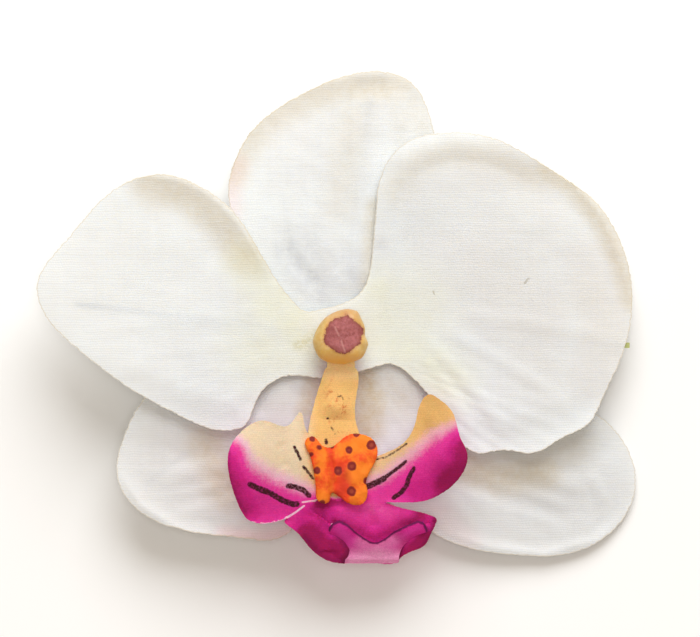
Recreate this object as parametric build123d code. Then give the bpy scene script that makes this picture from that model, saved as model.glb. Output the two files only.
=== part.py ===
"""Moth orchid hair clip: a silk flower on a sprung steel alligator clip.

The flower lies face up.  Two die-cut cloth layers, a cloth lip and a moulded column are
threaded on one peg, stiffened from behind by plastic ribs and pressed into a plastic hub.
A felt pad and a spot of hot glue hold the hub to the upper jaw of the clip.

Axes: +X towards the nose of the clip, +Y towards the dorsal sepal, +Z out of the flower.
The origin is on the flat underside of the lower jaw, below the column.  Millimetres.
"""

import math
import os

from build123d import *

# ------------------------------------------------------------------ clip
plate = 0.7                # steel sheet
clip_width = 8.6           # tail pads and lower ears
tail_x = -23.0             # rear end of both tails
nose_x = 22.0              # front end of both jaws
nose_width = 5.2           # lower jaw across its tooth rows
pivot_x = -9.0
wire = 0.6                 # spring wire
coil_radius = 1.3          # to the middle of the wire
coil_turns = 2.5
coil_gap = 0.5             # between neighbouring turns
coil_clear = 0.25          # coil to the steel above and below it
spring_leg = 0.54          # share of the way from the pin to the tail's end
wire_sides = 6
pin_radius = 0.6
pin_play = 0.1             # pin in the lower ears
pin_grip = 0.02            # pin in the upper ears
rivet_radius = 1.1
rivet_height = 0.35
ear_play = 0.3             # upper ears inside the lower ears
ear_length = 7.0
jaw_gap = 0.15             # between the closed jaws at the nose
tail_rise = 0.8            # upper tail above the line of its leaf
bend_x = -11.5             # where the upper tail turns up
tooth_pitch = 2.3
tooth_height = 1.3
tooth_count = 7
tooth_start = 3.5          # first tooth
leaf_play = 0.4            # upper leaf inside the tooth rows

# ------------------------------------------------------------------ flower
flower_width = 100.0       # outlines below are in hundredths of this width
cloth = 0.4                # petal and sepal cloth, stiffened
lip_cloth = 0.35
callus_thickness = 0.9
layer_gap = 0.05           # glue line between stacked pieces
lip_gap = 0.12             # under the lip's stiffer tab
tab_rim = 1.4              # lip tab outside the column's neck
tab_reach = 5.6            # from the peg to the start of the strap
glue_thickness = 0.5
glue_length = 15.0
glue_width = 7.0
glue_x = 1.5
felt_thickness = 1.2
felt_radius = 12.5
hub_height = 2.2
hub_radius = 6.0
hub_top_radius = 3.4
hub_rib_count = 6
hub_rib = 0.8
spine_thickness = 0.8
spine_ring_radius = 3.2
spine_root_width = 1.8
spine_tip_width = 0.9
peg_radius = 1.0
peg_play = 0.1
column_height = 6.4
column_neck_radius = 2.2
neck_height = 2.0

# Pressed form of the lip
lip_width = 39.0           # across the side lobes
lip_crest_y = -21.0        # crest of the arch
lip_arch = 19.0            # from the crest to either end of the arch
wing_y = -17.0             # middle of the side lobes' cup
wing_reach = 17.0

# Heat-pressed shape of the layers, heights at the rim
sepal_droop = 3.0          # mean droop of the three sepals
sepal_droop_left = 1.4     # more on the left sepal, less opposite it
sepal_droop_angle = 215.0
sepal_ridge = 2.0          # crown along each sepal
petal_curl = 1.5           # rise of the outer rims
petal_cup = 1.2            # rise of the upper and lower rims
lip_rise = 3.6             # crest of the lip, at the callus, above its tab
lip_wing = 6.4             # rise of the side lobes' outer rims
flap_lift = 2.0            # free edge of the folded tip above the lobe

unit = flower_width / 100.0
half_flower = flower_width / 2


# ------------------------------------------------------------------ helpers
def scaled(points):
    """Outline points in hundredths of the flower's width, as millimetres."""
    return [(x * unit, y * unit) for x, y in points]


def closed_outline(points):
    """Face inside a smooth closed curve through the points."""
    return make_face(Spline(*scaled(points), periodic=True))


def pressed(outline, height, thickness, step):
    """Sheet of even thickness over a pressed form z = height(x, y), cut to an outline."""
    box = outline.bounding_box()
    margin = step
    across = math.ceil((box.size.X + 2 * margin) / step)
    along = math.ceil((box.size.Y + 2 * margin) / step)
    dx = (box.size.X + 2 * margin) / across
    dy = (box.size.Y + 2 * margin) / along
    rows = []
    for i in range(across + 1):
        x = box.min.X - margin + i * dx
        ys = [box.min.Y - margin + j * dy for j in range(along + 1)]
        rows.append([(x, y, height(x, y)) for y in ys])
    form = Face.make_surface_from_array_of_points(rows)
    slab = Solid.extrude(form, Vector(0, 0, thickness))
    return slab & extrude(outline, amount=4 * felt_radius)


def seated(shape):
    """Move a piece from the peg's own upright axes onto the sloping upper jaw."""
    return Pos(0, 0, seat_height) * Rot(0, seat_tilt, 0) * shape


# ------------------------------------------------------------------ clip geometry
coil_outer = coil_radius + wire / 2
pin_z = plate + coil_clear + coil_outer
leaf_at_pin = pin_z + coil_outer + coil_clear
nose_z = plate + jaw_gap
leaf_slope = (leaf_at_pin - nose_z) / (nose_x - pivot_x)
seat_tilt = math.degrees(math.atan(leaf_slope))
plate_up = plate / math.cos(math.radians(seat_tilt))
seat_height = nose_z + leaf_slope * nose_x + plate_up

lower_half = clip_width / 2
lower_ear_inner = lower_half - plate
upper_half = lower_ear_inner - ear_play
upper_ear_inner = upper_half - plate
nose_half = nose_width / 2
taper_x = pivot_x + ear_length / 2 + plate


def leaf_under(x):
    """Height of the upper leaf's underside."""
    return nose_z + leaf_slope * (nose_x - x)


def tail_under(x):
    """Height of the upper tail's underside, behind the bend."""
    return leaf_under(x) + tail_rise * (bend_x - x) / (bend_x - tail_x)


def lower_edge(x):
    """Half width of the lower jaw in front of its ears."""
    return lower_half + (nose_half - lower_half) * (x - taper_x) / (nose_x - taper_x)


def upright(sketch, thickness, inner=0.0):
    """Plate from a sketch stood on edge: its y becomes height; it grows towards +Y."""
    return Pos(0, inner, 0) * extrude(Plane.XZ * sketch, amount=thickness, dir=(0, 1, 0))


def both_sides(sketch, inner):
    """A pair of upright plates, their inner faces at +-inner."""
    return upright(sketch, plate, inner) + upright(sketch, plate, -inner - plate)


def ear_profile(top_radius, base_z, hole):
    """Ear round the pin, with a broad foot on the plate."""
    cap = Pos(pivot_x, pin_z) * Circle(top_radius)
    half = ear_length / 2
    foot = Polygon(
        (pivot_x - half, base_z),
        (pivot_x + half, base_z),
        (pivot_x + top_radius, pin_z),
        (pivot_x - top_radius, pin_z),
        align=None,
    )
    return cap + foot - Pos(pivot_x, pin_z) * Circle(hole)


def lower_jaw():
    """Flat jaw with ears, a thumb tail and two rows of upturned teeth."""
    corner = lower_half * 0.7
    tail = Polyline(
        (taper_x, lower_half),
        (tail_x, lower_half),
        (tail_x, -lower_half),
        (taper_x, -lower_half),
        (nose_x, -nose_half),
        (nose_x, nose_half),
        close=True,
    )
    outline = make_face(tail)
    outline = fillet(outline.vertices().group_by(Axis.X)[0], corner)
    outline = fillet(outline.vertices().group_by(Axis.X)[-1], nose_half * 0.6)
    body = extrude(outline, amount=plate)
    ears = ear_profile(coil_outer + plate / 2, 0, pin_radius + pin_play)
    body += both_sides(ears, lower_ear_inner)
    front = tooth_start + tooth_count * tooth_pitch
    saw = [(tooth_start - tooth_pitch, 0), (tooth_start - tooth_pitch / 2, plate)]
    for index in range(tooth_count):
        x = tooth_start + index * tooth_pitch
        saw.append((x, plate + tooth_height * 0.35))
        saw.append((x + tooth_pitch * 0.55, plate + tooth_height))
    saw.append((front, plate + tooth_height * 0.35))
    saw.append((front, 0))
    row = upright(Polygon(*saw, align=None), plate)
    lean = math.degrees(math.atan((lower_edge(0) - lower_edge(front)) / front))
    for side in (1, -1):
        shift = lower_edge(0) - plate if side > 0 else -lower_edge(0)
        body += Pos(0, shift, 0) * Rot(0, 0, -side * lean) * row
    return body


def upper_jaw():
    """Sloping leaf with a raised thumb tail, and ears turned down inside the lower ones."""
    side = Polygon(
        (nose_x, nose_z),
        (bend_x, leaf_under(bend_x)),
        (tail_x, tail_under(tail_x)),
        (tail_x, tail_under(tail_x) + plate_up),
        (bend_x - plate * 0.1, leaf_under(bend_x) + plate_up),
        (nose_x, nose_z + plate_up),
        align=None,
    )
    leaf = upright(side, clip_width, -lower_half)
    neck_x = pivot_x - ear_length / 2 - 2 * plate
    inner = lower_edge(nose_x) - plate - leaf_play
    plan = Polyline(
        (tail_x, lower_half),
        (neck_x - plate, lower_half),
        (neck_x, upper_half),
        (taper_x, upper_half),
        (tooth_start - tooth_pitch, lower_edge(tooth_start - tooth_pitch) - plate - leaf_play),
        (nose_x, inner),
        (nose_x, -inner),
        (tooth_start - tooth_pitch, -lower_edge(tooth_start - tooth_pitch) + plate + leaf_play),
        (taper_x, -upper_half),
        (neck_x, -upper_half),
        (neck_x - plate, -lower_half),
        (tail_x, -lower_half),
        close=True,
    )
    outline = make_face(plan)
    outline = fillet(outline.vertices().group_by(Axis.X)[0], lower_half * 0.7)
    outline = fillet(outline.vertices().group_by(Axis.X)[-1], inner * 0.6)
    body = leaf & extrude(outline, amount=tail_under(tail_x) + 2 * plate)
    half = ear_length / 2 - plate
    cap = coil_outer + plate / 7
    web = Polygon(
        (pivot_x - half, leaf_under(pivot_x - half) + plate / 2),
        (pivot_x - cap, pin_z),
        (pivot_x + cap, pin_z),
        (pivot_x + half, leaf_under(pivot_x + half) + plate / 2),
        align=None,
    )
    at_pin = Pos(pivot_x, pin_z)
    ear = web + at_pin * Circle(cap) - at_pin * Circle(pin_radius + pin_grip)
    return body + both_sides(ear, upper_ear_inner)


def pivot_pin():
    """Plain pin with a domed rivet head outside each lower ear."""
    head_y = lower_half + layer_gap
    profile = Polyline(
        (0, -head_y - rivet_height),
        (rivet_radius * 0.7, -head_y - rivet_height),
        (rivet_radius, -head_y - rivet_height * 0.4),
        (rivet_radius, -head_y),
        (pin_radius, -head_y),
        (pin_radius, head_y),
        (rivet_radius, head_y),
        (rivet_radius, head_y + rivet_height * 0.4),
        (rivet_radius * 0.7, head_y + rivet_height),
        (0, head_y + rivet_height),
        close=True,
    )
    return Pos(pivot_x, 0, pin_z) * revolve(make_face(profile), axis=Axis.Y)


def biarc(start, start_way, end, end_way):
    """Two tangent arcs between two points with given directions."""
    span = end - start
    ways = start_way + end_way
    bend = 2 * (1 - start_way.dot(end_way))
    along = span.dot(ways)
    reach = (math.sqrt(along * along + bend * span.dot(span)) - along) / bend
    middle = (start + start_way * reach + end - end_way * reach) / 2
    first = TangentArc(start, middle, tangent=start_way)
    second = TangentArc(end, middle, tangent=end_way * -1)
    return [first, second]


def torsion_spring():
    """Coil round the pin; both legs run back under the tails and push them apart."""
    rise = (wire + coil_gap) / (2 * math.pi)
    climb = 1 / math.hypot(coil_radius, rise)

    def place(turn):
        angle = 2 * math.pi * turn - math.pi / 2
        x = pivot_x + coil_radius * math.cos(angle)
        y = rise * 2 * math.pi * (turn - coil_turns / 2)
        return Vector(x, y, pin_z + coil_radius * math.sin(angle))

    def way(turn):
        angle = 2 * math.pi * turn - math.pi / 2
        turning = Vector(-coil_radius * math.sin(angle), rise, coil_radius * math.cos(angle))
        return turning * climb

    quarters = round(coil_turns * 4)
    path = []
    for index in range(quarters):
        turn, after = index / 4, (index + 1) / 4
        path += biarc(place(turn), way(turn), place(after), way(after))
    leg = spring_leg * (pivot_x - tail_x)
    low_end = place(0) - way(0) * leg
    top = place(coil_turns)
    knee = top + way(coil_turns) * 1.5 * coil_radius + Vector(0, 0, wire / 4)
    tip_x = pivot_x - leg
    tip = Vector(tip_x, knee.Y, tail_under(tip_x) - wire * 0.65 - layer_gap)
    path = [Line(low_end, place(0))] + path
    path += [TangentArc(top, knee, tangent=way(coil_turns)), Line(knee, tip)]
    line = Wire(path)
    start = Plane(origin=line @ 0, z_dir=line % 0)
    turn_gap = math.dist(place(0), place(1)) - wire
    print("spring: least gap between turns", round(turn_gap, 2))
    return sweep(start * RegularPolygon(wire / 2, wire_sides), path=line)


# ------------------------------------------------------------------ flower heights
def seat(x):
    """Top of the upper leaf, carried on as a plane under the whole flower."""
    return seat_height - leaf_slope * x


up = 1 / math.cos(math.radians(seat_tilt))
felt_base = glue_thickness + 2 * layer_gap
hub_base = felt_base + felt_thickness + layer_gap
sepal_spine_base = hub_base + hub_height + layer_gap
sepal_base = sepal_spine_base + spine_thickness + layer_gap
petal_spine_base = sepal_base + cloth + layer_gap
petal_base = petal_spine_base + spine_thickness + layer_gap
lip_base = petal_base + cloth + lip_gap
column_base = lip_base + lip_cloth + layer_gap


def hump(place, middle, reach):
    """Smooth hump of height 1 at the middle that ends level at middle +- reach."""
    off = (place - middle) / reach
    return max(0.0, 1 - off * off) ** 2


def sepal_height(x, y):
    """Underside of the sepal cloth: three crowned lobes that droop from the peg."""
    u, v = x / half_flower, y / half_flower
    square = u * u + v * v
    lean = math.radians(sepal_droop_angle)
    left = u * math.cos(lean) + v * math.sin(lean)
    droop = (sepal_droop + sepal_droop_left * left) * square
    crown = sepal_ridge * (v**3 - 3 * u * u * v - square)
    return seat(x) + sepal_base * up + crown - droop


def petal_height(x, y):
    """Underside of the petal cloth: two broad petals with lifted rims."""
    curl = petal_curl * (x / half_flower) ** 2
    cup = petal_cup * (2 * y / half_flower) ** 2
    return seat(x) + petal_base * up + curl + cup


def lip_height(x, y):
    """Underside of the lip: arched strap and middle lobe, cupped side lobes."""
    rise = lip_rise * hump(y, lip_crest_y, lip_arch)
    cup = lip_wing * (2 * x / lip_width) ** 2
    return seat(x) + lip_base * up + rise + cup * hump(y, wing_y, wing_reach)


# ------------------------------------------------------------------ flower outlines
petal_points = [
    (-6.8, 4.7), (-10.0, 8.4), (-13.4, 13.8), (-17.7, 20.5), (-23.5, 25.0), (-30.5, 27.0),
    (-37.7, 24.5), (-45.5, 16.2), (-50.5, 8.2), (-48.7, 3.0), (-43.5, -2.2), (-35.2, -8.5),
    (-26.0, -13.5), (-19.0, -15.6), (-15.9, -14.6), (-14.3, -11.0), (-12.0, -7.9), (-8.5, -6.4),
    (-3.8, -6.8), (1.0, -6.2), (5.0, -5.2), (8.5, -4.5), (11.4, -6.3), (14.7, -9.8),
    (18.4, -15.5), (22.8, -19.4), (27.0, -18.9), (32.0, -19.4), (37.0, -16.8), (41.0, -14.8),
    (43.7, -10.2), (47.1, -2.6), (48.6, 5.3), (46.8, 15.3), (42.5, 22.4), (34.0, 28.6),
    (26.5, 32.7), (18.2, 34.0), (11.2, 32.5), (7.2, 28.2), (5.8, 20.5), (5.0, 12.5),
    (3.4, 7.6), (0.3, 5.6), (-3.3, 4.6),
]
sepal_points = [
    (-9.6, 5.6), (-14.4, 12.4), (-17.8, 19.0), (-18.8, 24.5), (-17.8, 29.2), (-14.8, 34.5),
    (-9.7, 38.7), (-1.8, 42.7), (7.3, 44.2), (11.8, 42.4), (14.6, 37.5), (15.8, 31.0),
    (13.0, 20.0), (9.2, 10.5), (8.6, 2.5), (16.0, -2.6), (27.5, -6.0), (39.0, -10.6),
    (45.6, -15.4), (49.2, -22.5), (48.0, -29.2), (43.7, -33.8), (37.7, -36.3), (30.7, -36.5),
    (24.0, -35.8), (17.6, -33.9), (10.0, -29.0), (2.6, -22.0), (-0.6, -13.5), (-2.6, -13.0),
    (-4.6, -20.5), (-6.3, -28.0), (-8.3, -32.3), (-11.7, -33.9), (-16.0, -33.6), (-23.5, -32.8),
    (-30.2, -30.9), (-35.6, -27.0), (-37.4, -22.2), (-36.2, -16.6), (-32.6, -10.0),
    (-25.0, -4.4), (-16.0, -1.8), (-10.6, 1.4),
]
strap_points = [
    (-2.7, -5.8), (-3.4, -8.0), (-4.4, -11.0), (-5.2, -14.0), (-5.6, -17.5), (-4.8, -24.0),
    (0.5, -27.5), (4.6, -24.0), (3.2, -16.5), (2.2, -11.5), (2.8, -7.0), (2.6, -5.6), (0.0, -4.6),
]
left_lobe_points = [
    (-6.2, -14.0), (-6.8, -12.5), (-8.6, -14.6), (-12.5, -13.9), (-16.2, -15.4), (-18.5, -18.6),
    (-18.6, -22.6), (-17.3, -27.2), (-15.0, -30.6), (-12.8, -31.0), (-9.5, -30.3), (-4.4, -27.4),
    (-2.6, -22.0), (-4.2, -17.0),
]
right_lobe_points = [
    (4.6, -20.4), (7.4, -19.3), (10.6, -17.4), (12.2, -14.8), (13.2, -11.2), (14.6, -9.6),
    (16.4, -10.4), (18.7, -12.8), (19.8, -16.6), (21.0, -19.4), (20.3, -22.4), (17.5, -25.5),
    (13.6, -27.3), (9.2, -27.5), (3.6, -26.0),
]
middle_lobe_points = [
    (-9.3, -30.4), (-6.0, -28.2), (-3.0, -26.6), (2.0, -24.8), (6.0, -26.8), (10.6, -28.6),
    (14.6, -29.6), (15.9, -30.3), (15.4, -31.8), (13.6, -34.8), (10.6, -36.2), (9.2, -37.5),
    (4.5, -37.4), (-0.6, -37.6), (-3.4, -36.6), (-6.0, -34.0), (-8.2, -31.8),
]
flap_points = [
    (-0.2, -37.2), (1.0, -35.4), (0.4, -33.6), (-1.2, -31.6), (0.6, -31.2), (2.4, -32.6),
    (4.8, -34.0), (7.0, -33.6), (9.8, -31.8), (12.6, -30.8), (13.8, -32.2), (11.6, -33.8),
    (10.2, -35.4), (9.0, -37.2), (4.5, -37.0),
]
callus_points = [
    (-5.4, -16.7), (-4.4, -16.6), (-3.4, -17.8), (-2.0, -18.4), (-0.6, -17.7), (1.2, -16.3),
    (3.6, -16.2), (5.6, -17.4), (6.1, -19.4), (5.1, -21.8), (4.2, -24.0), (4.4, -26.2),
    (3.4, -27.8), (1.2, -27.6), (-0.6, -26.3), (-1.5, -25.9), (-2.0, -27.4), (-3.6, -27.4),
    (-4.2, -25.2), (-4.6, -22.0), (-5.3, -19.4),
]
head_points = [
    (0.9, 4.7), (-2.6, 3.2), (-4.6, 0.0), (-4.4, -2.2), (-2.6, -4.0), (0.5, -4.5), (3.8, -3.2),
    (4.5, -1.0), (4.0, 1.6), (2.6, 4.3),
]
head_levels = [
    (0.16, 0.50), (0.30, 0.80), (0.45, 0.96), (0.60, 1.0), (0.76, 0.93), (0.89, 0.74),
    (0.97, 0.50), (1.0, 0.28),
]
petal_tips = [(-44.0, 5.5), (48.2, -1.4)]
sepal_tips = [(5.0, 40.0), (-32.5, -24.5), (44.0, -24.5)]


# ------------------------------------------------------------------ flower pieces
def peg_hole(level):
    """Clearance hole for the peg, where the tilted peg crosses a layer at this level."""
    return Pos(level * math.sin(math.radians(seat_tilt)), 0) * Circle(peg_radius + peg_play)


def spine(tips, height, level):
    """Stiffening rib: tapering arms from a ring round the peg, moulded to the cloth."""
    plan = Circle(spine_ring_radius)
    for tip_x, tip_y in scaled(tips):
        length = math.hypot(tip_x, tip_y)
        angle = math.degrees(math.atan2(tip_y, tip_x))
        arm = Polygon(
            (0, spine_root_width / 2),
            (0, -spine_root_width / 2),
            (length, -spine_tip_width / 2),
            (length, spine_tip_width / 2),
            align=None,
        )
        plan += Rot(0, 0, angle) * arm
    plan -= peg_hole(level + spine_thickness / 2)

    def under(x, y):
        return height(x, y) - (spine_thickness + layer_gap) * up

    return pressed(plan, under, spine_thickness, 5 * unit)


def layer(points, height, level):
    """Die-cut cloth layer threaded on the peg."""
    outline = closed_outline(points) - peg_hole(level + cloth / 2)
    return pressed(outline, height, cloth, 5 * unit)


def lip():
    """Strap, two side lobes and a middle lobe whose tip is folded up and back."""
    tab = Circle(column_neck_radius + tab_rim)
    bridge = Pos(0, -tab_reach / 2) * Rectangle(2 * column_neck_radius, tab_reach)
    strap = closed_outline(strap_points) + tab + bridge
    lobes = closed_outline(left_lobe_points) + closed_outline(right_lobe_points)
    plan = strap + lobes + closed_outline(middle_lobe_points)
    plan -= peg_hole(lip_base + lip_cloth / 2)
    body = pressed(plan, lip_height, lip_cloth, 3 * unit)
    fold_y = -37.4 * unit

    def flap_height(x, y):
        lift = flap_lift * max(0.0, (y - fold_y) / (6 * unit))
        return lip_height(x, y) + lip_cloth / 2 + lift

    return body + pressed(closed_outline(flap_points), flap_height, lip_cloth, 3 * unit)


def callus():
    """Butterfly-shaped crest glued on the throat of the lip."""

    def on_lip(x, y):
        return lip_height(x, y) + lip_cloth + layer_gap

    return pressed(closed_outline(callus_points), on_lip, callus_thickness, 3 * unit)


def column():
    """Hooded column head on a narrow neck, with the peg that threads the layers."""
    head = closed_outline(head_points)
    sections = []
    for part, share in head_levels:
        section = scale(head, by=share)
        sections.append(Pos(0, 0, part * column_height) * section)
    body = loft(sections, ruled=True)
    body += Pos(0, 0, neck_height / 2) * Cylinder(column_neck_radius, neck_height)
    depth = column_base - hub_base
    peg = Pos(0, 0, -depth / 2 + layer_gap) * Cylinder(peg_radius, depth)
    return seated(Pos(0, 0, column_base) * (body + peg))


def hub():
    """Calyx hub: a ribbed cone with a through socket for the peg."""
    profile = Polyline(
        (peg_radius + peg_play, 0),
        (hub_radius, 0),
        (hub_radius, hub_height * 0.3),
        (hub_top_radius, hub_height * 0.55),
        (hub_top_radius, hub_height),
        (peg_radius + peg_play, hub_height),
        close=True,
    )
    cone = revolve(Plane.XZ * make_face(profile), axis=Axis.Z)
    fin = Polygon(
        (hub_top_radius - hub_rib, 0),
        (hub_radius, 0),
        (hub_radius, hub_height * 0.45),
        (hub_top_radius - hub_rib, hub_height * 0.9),
        align=None,
    )
    rib = upright(fin, hub_rib, -hub_rib / 2)
    for index in range(hub_rib_count):
        cone += Rot(0, 0, index * 360 / hub_rib_count) * rib
    return seated(Pos(0, 0, hub_base) * cone)


def felt_pad():
    disc = Pos(0, 0, felt_base + felt_thickness / 2) * Cylinder(felt_radius, felt_thickness)
    return seated(disc)


def glue_pad():
    """Spot of hot glue squeezed between the felt and the upper leaf."""
    spot = Pos(glue_x, 0) * Ellipse(glue_length / 2, glue_width / 2)
    return seated(Pos(0, 0, layer_gap) * extrude(spot, amount=glue_thickness))


# ------------------------------------------------------------------ build
def build():
    os.makedirs("parts", exist_ok=True)
    pieces = {
        "lower_jaw": lower_jaw(),
        "upper_jaw": upper_jaw(),
        "pivot_pin": pivot_pin(),
        "torsion_spring": torsion_spring(),
        "glue_pad": glue_pad(),
        "felt_pad": felt_pad(),
        "calyx_hub": hub(),
        "sepal_spine": spine(sepal_tips, sepal_height, sepal_spine_base),
        "sepal_cloth": layer(sepal_points, sepal_height, sepal_base),
        "petal_spine": spine(petal_tips, petal_height, petal_spine_base),
        "petal_cloth": layer(petal_points, petal_height, petal_base),
        "lip_cloth": lip(),
        "callus": callus(),
        "column": column(),
    }
    for node, shape in pieces.items():
        export_step(shape, "parts/" + node + ".step")


build()
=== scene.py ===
"""Looks of the moth orchid hair clip: a silk flower on a sprung steel alligator clip.

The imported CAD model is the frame.  Cloth, callus, column, felt and spring are finer pieces
that stand for their CAD nodes; the other nodes get materials.  Shapes are worked out in
millimetres in the frame's own axes, and meshes are made in metres.
"""

import math

import bmesh
import bpy
import numpy as np
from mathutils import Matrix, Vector, geometry
from mathutils.bvhtree import BVHTree


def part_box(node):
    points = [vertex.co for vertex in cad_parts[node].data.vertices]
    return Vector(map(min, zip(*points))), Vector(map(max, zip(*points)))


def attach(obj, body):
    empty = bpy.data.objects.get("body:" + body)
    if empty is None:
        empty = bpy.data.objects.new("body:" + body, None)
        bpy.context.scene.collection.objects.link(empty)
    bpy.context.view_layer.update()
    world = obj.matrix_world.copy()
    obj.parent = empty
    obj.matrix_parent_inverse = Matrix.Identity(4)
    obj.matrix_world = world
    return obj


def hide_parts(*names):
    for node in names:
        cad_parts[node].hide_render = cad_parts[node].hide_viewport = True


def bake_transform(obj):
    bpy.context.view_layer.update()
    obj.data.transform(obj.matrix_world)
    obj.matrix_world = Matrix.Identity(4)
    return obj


bl_info = {
    "name": "Moth orchid hair clip",
    "version": (1, 0, 0),
    "blender": (4, 5, 0),
    "location": "3D View > Sidebar > Orchid",
    "description": "Dresses the packed orchid clip: silk, moulded plastic, felt and steel",
    "category": "Object",
}

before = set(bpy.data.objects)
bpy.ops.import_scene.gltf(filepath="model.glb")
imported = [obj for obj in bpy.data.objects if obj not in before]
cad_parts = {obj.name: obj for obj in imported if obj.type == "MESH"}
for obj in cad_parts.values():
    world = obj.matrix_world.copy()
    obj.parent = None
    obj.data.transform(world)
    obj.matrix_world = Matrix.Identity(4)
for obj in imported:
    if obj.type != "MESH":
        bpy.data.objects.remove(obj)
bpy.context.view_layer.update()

MM = 0.001
PHOTO_WIDTH, PHOTO_HEIGHT = 700, 637
PX_PER_MM = 6.0
AXIS_PX = (341, 337)       # where the column's axis stands in the photograph
FAR = 1e9                  # further than any distance, in mm
CLEAR = 9.0                # well clear of any painted line, in mm


# ------------------------------------------------------------------ places
def traced(*numbers):
    """Places in the photograph, x, y, x, y ... in pixels, as mm from the column's axis."""
    return [((x - AXIS_PX[0]) / PX_PER_MM, (AXIS_PX[1] - y) / PX_PER_MM)
            for x, y in zip(numbers[::2], numbers[1::2])]


def step(value, low, high):
    """Smooth step from 0 at low to 1 at high."""
    share = np.clip((value - low) / (high - low), 0, 1)
    return share * share * (3 - 2 * share)


def bell(distance, reach):
    """Smooth bell of height 1 that ends at reach."""
    share = np.clip(distance / reach, 0, 1)
    return (1 - share * share) ** 2


def along(points, path, closed=False):
    """For each point: distance to a path, which side it is on, and the share along it."""
    path = np.asarray(path, float)
    if closed:
        path = np.vstack([path, path[:1]])
    runs = np.diff(path, axis=0)
    lengths = np.hypot(runs[:, 0], runs[:, 1])
    before = np.concatenate([[0], np.cumsum(lengths)])
    best = np.full(len(points), FAR)
    side = np.ones(len(points))
    share = np.zeros(len(points))
    for start, run, length, done in zip(path[:-1], runs, lengths, before[:-1]):
        if length == 0:
            continue
        off = points - start
        t = np.clip(off @ run / length**2, 0, 1)
        gap = off - t[:, None] * run
        distance = np.hypot(gap[:, 0], gap[:, 1])
        nearer = distance < best
        best = np.where(nearer, distance, best)
        turn = run[0] * off[:, 1] - run[1] * off[:, 0]
        side = np.where(nearer, np.where(turn >= 0, 1, -1), side)
        share = np.where(nearer, (done + t * length) / before[-1], share)
    return best, side, share


def away_from(points, *numbers):
    """Distance from each point to a traced path, or to a single traced place."""
    path = traced(*numbers)
    if len(path) == 1:
        return np.hypot(*(points - path[0]).T)
    return along(points, path)[0]


def inside(points, loops):
    """Which points are inside the loops, by the even-odd rule."""
    found = np.zeros(len(points), bool)
    x, y = points[:, 0], points[:, 1]
    for loop in loops:
        following = np.roll(loop, -1, axis=0)
        for (ax, ay), (bx, by) in zip(loop, following):
            if ay == by:
                continue
            crosses = (ay > y) != (by > y)
            found ^= crosses & (x < ax + (y - ay) * (bx - ax) / (by - ay))
    return found


def ripples(points, length, seed, count=9):
    """Uneven low waves of about the given length, between -1 and 1."""
    draw = np.random.default_rng(seed)
    total = np.zeros(len(points))
    for _ in range(count):
        angle, phase = draw.uniform(0, math.tau, 2)
        pace = math.tau / length * draw.uniform(0.6, 1.5)
        total += np.sin(pace * (points @ [math.cos(angle), math.sin(angle)]) + phase)
    return total / math.sqrt(count)


def smooth_loop(points, spacing):
    """A closed line through the points, resampled at an even spacing."""
    points = np.asarray(points, float)
    ring = np.vstack([points, points[:1]])
    before = np.concatenate([[0], np.cumsum(np.hypot(*np.diff(ring, axis=0).T))])
    count = max(12, round(before[-1] / spacing))
    places = np.arange(count) * before[-1] / count
    return np.column_stack([np.interp(places, before, ring[:, k]) for k in (0, 1)])


def rounded_loop(points, spacing):
    """A closed Catmull-Rom curve through given points, evenly resampled."""
    points = np.asarray(points, float)
    before, after, beyond = (np.roll(points, -k, axis=0) for k in (-1, 1, 2))
    t = np.linspace(0, 1, 12, endpoint=False)[:, None, None]
    curve = 0.5 * (
        2 * points
        + (after - before) * t
        + (2 * before - 5 * points + 4 * after - beyond) * t**2
        + (3 * points - before - 3 * after + beyond) * t**3
    )
    curve = curve.transpose(1, 0, 2).reshape(-1, 2)
    return smooth_loop(curve, spacing)


# ------------------------------------------------------------------ meshes
WELD = 0.001               # mm between vertices that are one
UNDERSIDE = 0.3            # how far a face's normal points down where it is an underside
RIM_STEP = 0.8             # spacing of a cut's rim, in grid spacings
RIM_CLEAR = 0.55           # grid points nearer the rim than this share of the spacing go


def choose(piece):
    """Only this piece selected and active, in object mode."""
    bpy.ops.object.select_all(action="DESELECT")
    piece.select_set(True)
    bpy.context.view_layer.objects.active = piece


def finish_with(piece, kind, **settings):
    """Add a modifier with these settings and apply it."""
    choose(piece)
    modifier = piece.modifiers.new(kind.title(), kind)
    for name, value in settings.items():
        setattr(modifier, name, value)
    bpy.ops.object.modifier_apply(modifier=modifier.name)


def smooth(piece, degrees):
    """Shade smooth, with an edge wherever faces meet at more than this angle."""
    choose(piece)
    bpy.ops.object.shade_smooth_by_angle(angle=math.radians(degrees))


def piece_from(name, places, faces):
    """New mesh piece from places in mm."""
    mesh = bpy.data.meshes.new(name)
    mesh.from_pydata((np.asarray(places) * MM).tolist(), [], [list(f) for f in faces])
    mesh.validate()
    made = bpy.data.objects.new(name, mesh)
    bpy.context.scene.collection.objects.link(made)
    return made


def places_of(piece):
    """The places of a piece's vertices, in metres."""
    return np.array([vertex.co for vertex in piece.data.vertices])


def move_to(piece, places):
    piece.data.vertices.foreach_set("co", places.ravel())
    piece.data.update()


def edit_all(piece, operation, **settings):
    """Run one edit-mode operation on the whole of a piece."""
    choose(piece)
    bpy.ops.object.mode_set(mode="EDIT")
    bpy.ops.mesh.select_all(action="SELECT")
    operation(**settings)
    bpy.ops.object.mode_set(mode="OBJECT")


def face_up(piece):
    """Turn a sheet's faces over where they look down."""
    if sum(polygon.normal.z for polygon in piece.data.polygons) < 0:
        piece.data.flip_normals()


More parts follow.
